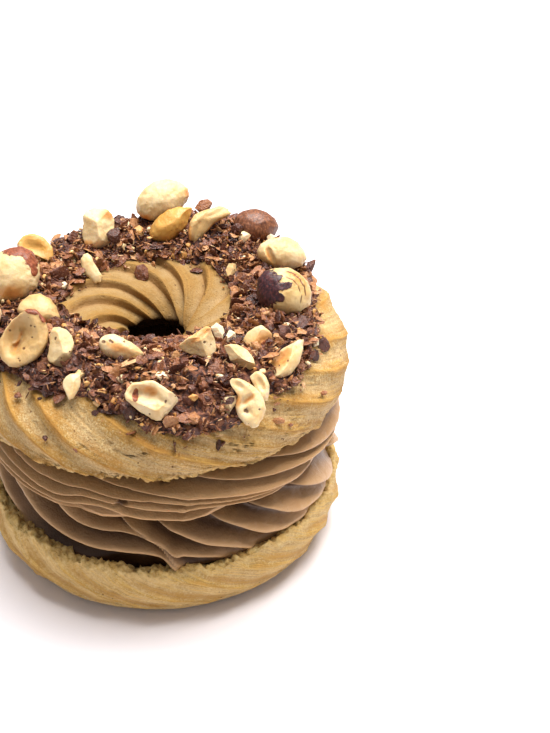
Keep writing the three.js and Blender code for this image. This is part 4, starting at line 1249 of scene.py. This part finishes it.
def makeNut(name, look, seed):
    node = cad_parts[name]
    nut = bpy.data.objects.new(name.replace("nut_", "hazelnut_"), node.data.copy())
    bpy.context.scene.collection.objects.link(nut)
    selectOnly(nut)
    bpy.ops.object.mode_set(mode="EDIT")
    bpy.ops.mesh.select_all(action="SELECT")
    bpy.ops.mesh.remove_doubles(threshold=1e-6)
    bpy.ops.object.mode_set(mode="OBJECT")
    while nut.data.attributes.get("UVMap"):
        nut.data.attributes.remove(nut.data.attributes["UVMap"])
    before = pointsOf(nut)
    low, high = before.min(0), before.max(0)
    rounder = nut.modifiers.new("rounder", "SUBSURF")
    rounder.levels = 2
    rounder.render_levels = 2
    even = nut.modifiers.new("even", "REMESH")
    even.mode = "VOXEL"
    even.voxel_size = nutGrain * mm
    even.use_smooth_shade = True
    applyModifiers(nut)
    # the rounding shrank it, so it is stretched back to its size
    points = pointsOf(nut)
    grown = (high - low) / (points.max(0) - points.min(0))
    points = (low + high) / 2 + (points - (points.max(0) + points.min(0)) / 2) * grown
    degrees, radius, height = look["at"]
    place = np.array((radius * cos(radians(degrees)), radius * sin(radians(degrees)), height))
    movePoints(nut, carved(points, place, look))
    soften = nut.modifiers.new("soften", "SMOOTH")
    soften.factor = 0.5
    soften.iterations = 5
    applyModifiers(nut)
    # spots and wrinkles, on the side that is turned to the front; an unpeeled nut has skin all over
    points = pointsOf(nut)
    normals = normalsOf(nut)
    axes = seenFrom(place)
    across, up = ((points - place) @ axes.T)[:, :2].T
    seen = normals @ axes[2] > -0.15
    unpeeled = look["finish"] == "skin"
    dots = [spot if len(spot) == 5 else (*spot, spot[2], 0) for spot in look.get("marks", [])]
    marks = spotsOver(across, up, dots) * seen
    skin = spotsOver(across, up, look.get("skin", [])) * (1 if unpeeled else seen)
    toast = spotsOver(across, up, look.get("toast", [])) * seen
    reach = 0.22 * bumps(points, 4.0, 2, seed) + 0.1 * bumps(points, 1.5, 2, seed + 40)
    reach = reach + 0.03 * bumps(points, 0.5, 2, seed + 80)
    raised = smooth(0.42, 0.58, skin + 0.25 * bumps(points, 1.2, 2, seed + 9))
    reach += 0.16 * raised - 0.18 * smooth(0.4, 0.8, marks)
    movePoints(nut, points + normals * (reach - 0.06)[:, None])
    setLayer(nut, "toast", toast)
    setLayer(nut, "skin", skin)
    setLayer(nut, "mark", marks)
    finished(nut, nutFinishes[look["finish"]], "hazelnut_skin" if unpeeled else "hazelnut", name)
    return nut


nutPieces = [makeNut(name, look, index + 50) for index, (name, look) in enumerate(nuts.items())]


crumble = {
    "columns": 560,
    "rowsAbove": 92,
    "rowsBelow": 6,
    "depth": 2.2,
    "hill": 3,
    "hillAt": 72,  # degrees round the axis
    "pile": 1.2,
    "overLid": 0.64,
    # where the crumble ends outside and inside: (degrees round the axis, degrees of the lid's section)
    "outer": [(-150, 43), (-143, 45), (-139, 49), (-130, 51), (-123, 51), (-116, 54), (-108, 55),
              (-101, 49), (-95, 46), (-90, 39), (-86, 33), (-81, 29), (-76, 27), (-70, 28), (-62, 28),
              (-57, 33), (-52, 38), (-46, 38), (-38, 39), (-28, 46), (-15, 52), (-3, 56), (12, 55),
              (28, 50), (40, 46), (90, 43), (140, 44), (180, 44)],
    "inner": [(-178, 103), (-163, 104), (-152, 112), (-143, 124), (-128, 134), (-94, 137), (-68, 136),
              (-54, 126), (-35, 113), (-21, 111), (10, 110), (36, 112), (63, 107), (82, 111), (98, 110),
              (116, 108), (151, 108), (172, 105)],
    # painted shade: the grains at the outer edge are darker on that side
    "paintedShadeBetween": (-165, -112),  # degrees round the axis where the grains at its outer edge are darker
    "seed": 7,
}
pileNoise = (3.6, 2, 60)  # size, octaves and seed of the humps, for the bed and for what lies on it


def crumbleEdge(angle, edge, seed):
    # the lid's section where the crumble ends
    return np.interp(np.degrees(angle), *np.array(crumble[edge]).T, period=360) + 2 * ragged(angle, seed)


def crumbleAcross(angle, span):
    # the section at that share of the way from its outer end to its inner one
    low, high = crumbleEdge(angle, "outer", 7), crumbleEdge(angle, "inner", 8)
    return low + (high - low) * span


def crumbleThin(angle, span):
    # the heap thins out towards the hole at the front
    return 1 - 0.85 * smooth(0.3, 0.72, span) * smooth(0.35, 0.8, -np.sin(angle))


def crumbleHeap(angle, span):
    # how high the heap lies over the lid's crests
    swell = np.sin(pi * np.clip(span, 0, 1)) ** 0.5
    lumps = np.sin(61 * angle + 40 * span) + np.sin(37 * angle - 70 * span)
    hill = crumble["hill"] * sideOf(angle, crumble["hillAt"], 6)
    return 0.5 + (crumble["depth"] + hill * swell ** 2 + 0.3 * lumps) * swell * crumbleThin(angle, span)


def overCrests(angle, section, grow):
    # a point above the lid's ridges, grow measured from their crests, section in degrees
    reach = crumble["overLid"] + grow
    turned = np.radians(section)
    radius = lid["sectionRadius"] + (lid["halfWidth"] + reach) * np.cos(turned)
    return around(angle, radius, lid["middle"] + (lid["rise"] + reach) * np.sin(turned))


def makeBed():
    # the pressed crumble that the loose pieces lie in
    above, below = crumble["rowsAbove"], crumble["rowsBelow"]
    ring = turnedRing("crumbleBed", plainOval(above + below, 26, 60, 10, 3), crumble["columns"])
    points = pointsOf(ring)
    row = rowsOf(ring)
    angle = np.arctan2(points[:, 1], points[:, 0])
    onTop = row < above
    span = np.where(onTop, row / (above - 1), 1 - (row - above + 1) / (below + 1))
    section = crumbleAcross(angle, span)
    plain = overCrests(angle, section, np.zeros(len(points)))
    pile = bumps(plain, *pileNoise)
    distance, pick = pits(plain, 1.0, 64)
    rough = crumble["pile"] * pile + 0.5 * bumps(plain, 1.7, 2, 61) + 0.8 * (pick - 0.5) - 0.5 * distance
    edges = np.sin(pi * np.clip(span, 0, 1)) ** 0.4 * (0.3 + 0.7 * crumbleThin(angle, span))
    lift = crumbleHeap(angle, span) - 0.9 + rough * edges
    section = section + 1.6 * bumps(plain, 1.8, 2, 63) * onTop
    movePoints(ring, overCrests(angle, section, np.where(onTop, np.maximum(lift, -0.4), -1.2)))
    # the bed's tone is kept dark, partly its own colour and partly as painted shade in the gaps between the
    # loose pieces
    setLayer(ring, "tone", 0.04 + 0.3 * pick)
    facesOut(ring)
    finished(ring, pressed, "praline_crumble", "praline_crumble")


makeBed()


def roundLump(cuts):
    # a ball of unit size that pieces are broken from, as (points, faces)
    bpy.ops.object.select_all(action="DESELECT")
    bpy.ops.mesh.primitive_ico_sphere_add(subdivisions=cuts, radius=1)
    lump = bpy.context.object
    points = np.array([tuple(v.co) for v in lump.data.vertices])
    faces = np.array([tuple(f.vertices) for f in lump.data.polygons])
    bpy.data.objects.remove(lump)
    return points, faces


def shardShape(draw, cuts, flat, wander):
    # a broken piece of unit size, as (points, faces)
    points, faces = roundLump(cuts)
    stretch = np.array([1, 0.5 + 0.4 * draw.random(), flat * (0.7 + 0.6 * draw.random())])
    points = points * (1 + wander * np.array([[draw.uniform(-1, 1)] for _ in points]))
    for _ in range(3):
        # a broken face
        normal = np.array([draw.gauss(0, 1), draw.gauss(0, 1), draw.gauss(0, 1)])
        normal /= np.linalg.norm(normal)
        points -= normal * np.maximum(0, points @ normal - draw.uniform(0.35, 0.75))[:, None]
    return points * stretch, faces


def oneMesh(name, parts, tones, material, slot):
    # (points, faces) of many loose pieces as one mesh, each with its tone
    ends = np.cumsum([0] + [len(points) for points, _ in parts])
    allPoints = np.concatenate([points for points, _ in parts])
    allFaces = np.concatenate([faces + start for (_, faces), start in zip(parts, ends)])
    mesh = bpy.data.meshes.new(name)
    mesh.from_pydata((allPoints * mm).tolist(), [], allFaces.tolist())
    piece = bpy.data.objects.new(name, mesh)
    bpy.context.scene.collection.objects.link(piece)
    setLayer(piece, "tone", np.repeat(tones, [len(points) for points, _ in parts]))
    finished(piece, material, slot)
    return piece


def randomTurn(draw):
    axis = Vector((draw.gauss(0, 1), draw.gauss(0, 1), draw.gauss(0, 1))).normalized()
    return np.array(Quaternion(axis, draw.uniform(0, 2 * pi)).to_matrix())


nutTrees = []
for piece in nutPieces:
    corners = [v.co / mm for v in piece.data.vertices]
    nutTrees.append(BVHTree.FromPolygons(corners, [tuple(f.vertices) for f in piece.data.polygons]))


def clearOfNuts(place, gap):
    for tree in nutTrees:
        found, normal, _, distance = tree.find_nearest(Vector(place), 6)
        if found is None:
            continue
        if distance < gap or (Vector(place) - found).dot(normal) < 0:
            return False
    return True


# the loose pieces: how many, their smallest, largest and usual length, thickness, tone, how high they
# lie on the bed, what share strays over the crumble's outline, how finely a shape is cut, how uneven it
# is and how many shapes there are
loose = {
    "pralineClumps": {
        "count": 460, "size": (1.6, 5.0, 2.6), "flat": 0.62, "tone": (0.05, 0.75), "lift": (-0.7, 0.5),
        "stray": 0.0, "cuts": 2, "wander": 0.2, "shapes": 12,
    },
    "pralineShards": {
        "count": 4300, "size": (0.4, 2.6, 0.8), "flat": 0.42, "tone": (0.0, 0.85), "lift": (-0.6, 1.1),
        "stray": 0.07, "cuts": 1, "wander": 0.34, "shapes": 14,
    },
    "skinFlakes": {
        "count": 1500, "size": (1.0, 5.0, 2.3), "flat": 0.12, "tone": (0.05, 0.8), "lift": (0.1, 1.5),
        "stray": 0.08, "cuts": 2, "wander": 0.22, "shapes": 10,
    },
    "crumbNeedles": {
        "count": 2600, "size": (0.7, 2.4, 1.0), "flat": 0.14, "tone": (0.35, 1.05), "lift": (0.2, 1.5),
        "stray": 0.1, "cuts": 1, "wander": 0.2, "shapes": 6, "thin": 0.26,
    },
    "choppedBits": {
        "count": 300, "size": (0.4, 2.3, 0.7), "flat": 0.6, "tone": (0.1, 1.0), "lift": (0.2, 1.4),
        "stray": 0.1, "cuts": 2, "wander": 0.12, "shapes": 9, "pale": True,
    },
    "crumbDust": {
        "count": 4200, "size": (0.16, 0.6, 0.28), "flat": 0.7, "tone": (0.0, 0.9), "lift": (0.0, 1.5),
        "stray": 0.16, "cuts": 1, "wander": 0.2, "shapes": 4,
    },
}


def strewn(name, kind, seed):
    draw = random.Random(crumble["seed"] + seed)
    shapes = [shardShape(draw, kind["cuts"], kind["flat"], kind["wander"]) for _ in range(kind["shapes"])]
    parts, tones = [], []
    while len(parts) < kind["count"]:
        angle = draw.uniform(-pi, pi)
        span = draw.uniform(-0.16, 1.12) if draw.random() < kind["stray"] else draw.betavariate(0.95, 1.15)
        section = np.array([crumbleAcross(angle, span)])
        angles = np.array([angle])
        pile = bumps(overCrests(angles, section, np.zeros(1)), *pileNoise)[0]
        inside = min(max(4 * span, 0), 1) * min(max(4 * (1 - span), 0), 1)
        lift = crumble["pile"] * inside * pile + draw.uniform(*kind["lift"])
        grow = crumbleHeap(angle, span) - 0.7 + lift * (0.3 + 0.7 * crumbleThin(angle, span))
        if not 0 <= span <= 1:
            grow = 0.15
        place = overCrests(angles, section, np.array([grow]))[0]
        length = draw.triangular(*kind["size"])
        if not clearOfNuts(place, 0.36 * length):
            continue
        points, faces = shapes[len(parts) % len(shapes)]
        points = points * np.array([1, kind.get("thin", 1), 1]) * length / 2
        parts.append((points @ randomTurn(draw).T + place, faces))
        # painted shade: darker in the heap's lows, lighter on its humps
        share = draw.betavariate(1.2, 1.7) + 0.2 * pile * inside
        # painted shade on the grains at the outer edge on the left
        darkFrom, darkTo = crumble["paintedShadeBetween"]
        if darkFrom < np.degrees(angle) < darkTo and span < 0.4:
            share *= 0.55
        tones.append(kind["tone"][0] + (kind["tone"][1] - kind["tone"][0]) * share)
    if kind.get("pale"):
        oneMesh(name, parts, tones, chopped, "hazelnut")
    else:
        oneMesh(name, parts, tones, candied, "praline_crumble")


for index, (name, kind) in enumerate(loose.items()):
    strewn(name, kind, index + 1)

# the larger chips, each with its place, thickness, tone and outline as looked at from the front
chips = {
    "nutChips": [
        ((3.6, -32.6, 63.0), 1.6, 0.9,
         [(-2.9, 0.7), (-0.8, 1.1), (2.0, 1.4), (2.0, 0.2), (1.4, -1.7), (0.6, -1.7), (-0.5, -0.5),
          (-1.9, 0.1)]),
        ((15.3, -16.6, 63.8), 1.8, 0.95,
         [(-1.7, 1.0), (-0.4, 2.1), (1.0, 1.2), (1.5, -0.7), (0.6, -2.4), (-0.8, -1.0)]),
        ((18.0, -19.1, 64.0), 1.4, 1.0,
         [(-0.9, 0.3), (-0.3, 1.9), (1.1, 1.0), (1.4, -0.7), (-0.1, -1.5), (-1.0, -1.1)]),
        ((30.4, -13.5, 63.3), 1.0, 0.85,
         [(-2.1, 0.5), (-1.2, 1.1), (0.7, 0.6), (1.9, -0.7), (1.3, -1.2), (-0.6, -0.6)]),
        ((18.0, -37.2, 58.8), 1.6, 0.7,
         [(-1.4, 1.2), (-0.7, 1.7), (1.8, 2.1), (2.0, 0.8), (0.9, -0.5), (-0.2, -2.3), (-1.0, -2.6),
          (-1.7, -0.4)]),
        ((16.1, -32.1, 62.4), 1.0, 1.0,
         [(-0.9, 0.3), (-0.2, 0.8), (0.8, 0.5), (0.9, -0.4), (0.2, -0.8), (-0.7, -0.5)]),
        ((20.6, 22.6, 66.2), 1.6, 0.8,
         [(-1.9, -0.9), (-0.8, 1.0), (0.7, 2.5), (1.7, 1.6), (1.3, -0.1), (0.0, -1.5), (-1.2, -2.3)]),
        ((26.8, 22.8, 65.2), 1.4, 0.9, [(-1.1, 0.6), (0, 1.2), (1.2, 0.5), (0.9, -0.9), (-0.5, -1.0)]),
        ((29.0, 27.2, 61.0), 1.2, 0.8, [(-1.2, 0), (-0.2, 0.7), (1.1, 0.1), (0.5, -0.9), (-0.8, -0.8)]),
        ((36.8, -14.9, 60.1), 1.2, 0.95, [(-0.9, 0.2), (-0.2, 1.2), (0.8, 0.6), (0.8, -0.8), (-0.3, -1.2)]),
        ((22.6, 7.1, 64.2), 1.2, 0.75, [(-0.9, 0.1), (-0.1, 1.1), (0.9, 0.5), (0.6, -0.8), (-0.5, -0.9)]),
        ((17.5, 9.9, 63.8), 1.2, 0.55, [(-1.8, -0.9), (-0.7, 1.8), (1.3, 1.6), (1.4, -0.4), (0.0, -2.0)]),
        ((-22.6, 13.3, 64.4), 1.2, 0.9, [(-0.9, 0.7), (0.0, 0.8), (0.9, 0.1), (0.6, -0.8), (-0.6, -0.8)]),
        ((-20.2, 15.0, 64.4), 1.2, 0.9, [(-0.7, 0.8), (0.4, 1.3), (0.9, 0.1), (0.2, -1.3), (-0.8, -1.0)]),
        ((-21.2, 2.7, 64.0), 1.2, 0.9, [(-0.7, 0.7), (0.3, 1.2), (1.0, -0.3), (0.3, -1.0), (-0.7, -0.5)]),
        ((5.1, 20.6, 62.6), 2.4, 0.25,
         [(-3.3, -0.1), (-0.6, 1.0), (0.5, 2.6), (1.9, 1.7), (2.6, -0.3), (1.9, -1.7), (-0.6, -2.2),
          (-2.5, -1.3)]),
        ((-5.4, 26.6, 64.6), 2.4, 0.35,
         [(-1.7, 1.2), (-0.1, 2.0), (1.5, 0.6), (1.8, -1.0), (0.1, -1.8), (-1.5, -0.6)]),
        ((-8.8, 29.6, 65.2), 1.8, 0.7, [(-1.9, 1.1), (-0.3, 1.3), (1.7, -0.2), (1.4, -1.2), (-0.6, -0.6)]),
        ((10.7, -37.3, 60.9), 1.2, 0.3,
         [(-1.2, 0.1), (-0.1, 0.8), (0.9, 0.5), (1.1, -0.3), (0.1, -0.8), (-0.8, -0.6)]),
        ((6.8, -40.8, 57.9), 0.9, 0.8, [(-0.9, 0.4), (0.2, 0.6), (0.9, -0.4), (-0.1, -0.6)]),
        ((9.8, -40.6, 57.4), 1.2, 0.75,
         [(-1.3, -0.1), (-0.5, 1.0), (1.1, 0.8), (1.3, 0.0), (0.2, -1.0), (-0.9, -0.8)]),
        ((-8.6, -36.2, 61.2), 1.3, 0.3, [(-1.4, -0.4), (-0.6, 0.9), (0.7, 1.0), (1.3, 0.1), (0.4, -0.9)]),
        ((-6.2, -37.6, 60.2), 1.2, 0.2, [(-1.1, 0.1), (0, 1.0), (1.2, 0.3), (0.6, -0.8), (-0.6, -0.7)]),
        ((-9.6, -37.6, 59.6), 1.1, 0.45, [(-0.9, 0.3), (0.1, 0.9), (1.0, -0.1), (0.1, -0.9)]),
        ((-13.6, -31.4, 62.6), 1.3, 0.5, [(-1.2, 0.2), (-0.2, 1.2), (1.1, 0.6), (0.8, -0.8), (-0.6, -0.9)]),
        ((-4.6, -33.4, 62.8), 1.2, 0.8, [(-1.0, 0.5), (0.2, 1.1), (1.1, 0.1), (0.3, -1.1), (-0.8, -0.7)]),
    ],
    "skinChips": [
        ((-11.2, 20.8, 67.2), 2.6, 0.12,
         [(-1.8, 0.5), (-0.6, 1.7), (1.1, 2.2), (1.7, 0.5), (1.4, -1.6), (-0.1, -2.1), (-1.5, -1.0)]),
        ((-4.4, 14.6, 60.2), 2.4, 0.3,
         [(-1.8, 0.0), (-1.1, 2.0), (0.7, 2.3), (1.8, 1.0), (1.6, -1.4), (0.0, -2.5), (-1.1, -1.6)]),
        ((36.2, 15.0, 61.6), 1.2, 0.2,
         [(-1.1, -0.4), (-0.8, 1.6), (1.4, 2.2), (1.3, 0.8), (0.1, -2.0), (-0.8, -2.4)]),
        ((9.6, 36.0, 67.0), 2.2, 0.5,
         [(-2.2, -0.2), (-0.9, 1.6), (1.4, 1.9), (2.6, 0.9), (1.6, -1.0), (-0.6, -1.7)]),
        ((18.4, 23.8, 67.4), 2.2, 0.16, [(-1.6, 0.4), (0.2, 1.5), (1.8, 0.7), (1.2, -1.3), (-1.0, -1.2)]),
        ((28.5, -34.2, 52.6), 0.8, 0.62,
         [(-1.6, 0.0), (-1.0, 0.5), (0.6, 0.7), (1.6, 0.1), (1.2, -0.6), (-0.7, -0.8)]),
        ((11.2, -42.6, 56.0), 1.0, 0.6,
         [(-0.8, -0.7), (-0.6, 1.0), (0.1, 1.2), (0.7, 0.6), (0.5, -0.9), (-0.3, -1.3)]),
        ((9.9, -43.3, 55.2), 0.8, 0.75, [(-0.7, 0.3), (0.4, 0.7), (0.7, -0.2), (-0.2, -0.9)]),
        ((28.3, -16.7, 63.6), 1.2, 0.15, [(-1.3, 0.0), (-0.5, 0.8), (0.9, 0.7), (1.0, -0.6), (-0.2, -1.0)]),
        ((24.7, -33.3, 59.4), 1.0, 0.3, [(-0.9, 0.4), (0.2, 0.6), (0.7, -0.2), (-0.1, -0.7)]),
        ((31.7, -27.6, 57.9), 1.4, 0.35, [(-1.2, -0.2), (0.4, 1.4), (1.1, 0.6), (0.4, -0.8), (-0.9, -1.1)]),
        ((-20.1, -13.9, 64.8), 1.6, 0.3,
         [(-2.4, 1.1), (-0.7, 1.3), (1.2, 0.3), (2.0, -1.4), (1.4, -1.7), (0.1, -0.1), (-1.5, 0.4)]),
        ((10.5, -35.7, 61.9), 1.4, 0.22, [(-1.0, 0.7), (0.0, 1.1), (1.0, 0.0), (0.5, -1.0), (-0.6, -0.7)]),
        ((13.4, -37.1, 60.6), 1.4, 0.18, [(-0.8, 0.7), (0.3, 1.2), (1.0, -0.2), (0.2, -1.2), (-0.7, -0.6)]),
        ((8.8, -35.0, 62.0), 1.0, 0.5, [(-1.3, -0.3), (-0.2, 0.7), (1.3, 0.5), (0.5, -0.7)]),
        ((38.7, -23.0, 51.9), 0.7, 0.5, [(-0.9, 0.1), (-0.2, 0.6), (0.8, 0.3), (0.5, -0.5), (-0.5, -0.6)]),
        ((-13.9, -42.7, 51.4), 0.7, 0.4, [(-0.8, 0.1), (0.1, 0.7), (0.8, -0.1), (0, -0.8)]),
        ((-20.9, -39.6, 52.0), 0.8, 0.15, [(-0.7, 0.3), (0.2, 0.8), (0.8, 0), (0.1, -0.8)]),
        ((31.2, -32.9, 50.4), 0.6, 0.45, [(-0.6, 0.1), (0, 0.5), (0.7, 0), (0, -0.5)]),
    ],
}


def makeChips(name, material, slot):
    parts, tones = [], []
    for index, (place, thickness, tone, outline) in enumerate(chips[name]):
        place = np.array(place)
        points, faces = roundLump(4)
        points = points @ randomTurn(random.Random(index)).T * 1.5
        points = points * np.array([1, 1, thickness / 3]) @ seenFrom(place) + place
        draw = random.Random(index + 40)
        cuts = []
        for _ in range(3):
            tilt = (draw.uniform(-0.7, 0.7), draw.uniform(-0.5, 0.9), 0.8)
            cuts.append((*tilt, thickness * draw.uniform(0.3, 0.45)))
        points = carved(points, place, {"outline": outline, "cuts": cuts})
        points += 0.08 * drift(points, 0.8, 70)
        parts.append((points, faces))
        tones.append(tone)
    selectOnly(oneMesh(name, parts, tones, material, slot))
    bpy.ops.object.shade_smooth_by_angle(angle=radians(35))


makeChips("nutChips", chopped, "hazelnut")
makeChips("skinChips", candied, "praline_crumble")


bpy.ops.object.select_all(action="DESELECT")
bpy.ops.mesh.primitive_plane_add(size=6, location=(0, 0, 0))
table = bpy.context.object
table.name = "table"
tablePaint = Recipe("paleTable", 0.6, Specular_IOR_Level=0.2)
table.data.materials.append(tablePaint.colour(paint(239, 235, 239)))

world = bpy.data.worlds.new("studio")
bpy.context.scene.world = world
world.use_nodes = True
sky = world.node_tree.nodes["Background"]
sky.inputs["Color"].default_value = paint(250, 250, 255)
sky.inputs["Strength"].default_value = 0.38

window = {"at": (90, 98, 620), "target": (0, 0, 30), "size": 540, "power": 10.8, "colour": (1, 0.98, 0.95)}
light = bpy.data.lights.new("windowLight", "AREA")
light.size = window["size"] * mm
light.energy = window["power"]
light.color = window["colour"]
lamp = bpy.data.objects.new("windowLight", light)
bpy.context.scene.collection.objects.link(lamp)
lamp.location = Vector(window["at"]) * mm
lamp.rotation_euler = (Vector(window["target"]) - Vector(window["at"])).to_track_quat("-Z", "Y").to_euler()

lens = bpy.data.cameras.new("camera")
lens.sensor_width = 36
lens.lens = view["focal"] / view["frame"] * lens.sensor_width
camera = bpy.data.objects.new("camera", lens)
bpy.context.scene.collection.objects.link(camera)
camera.location = Vector(view["at"]) * mm
camera.rotation_euler = (radians(90 - view["tilt"]), 0, 0)
bpy.context.scene.camera = camera
bpy.context.scene.view_settings.view_transform = "Standard"
print("table, light and camera set")
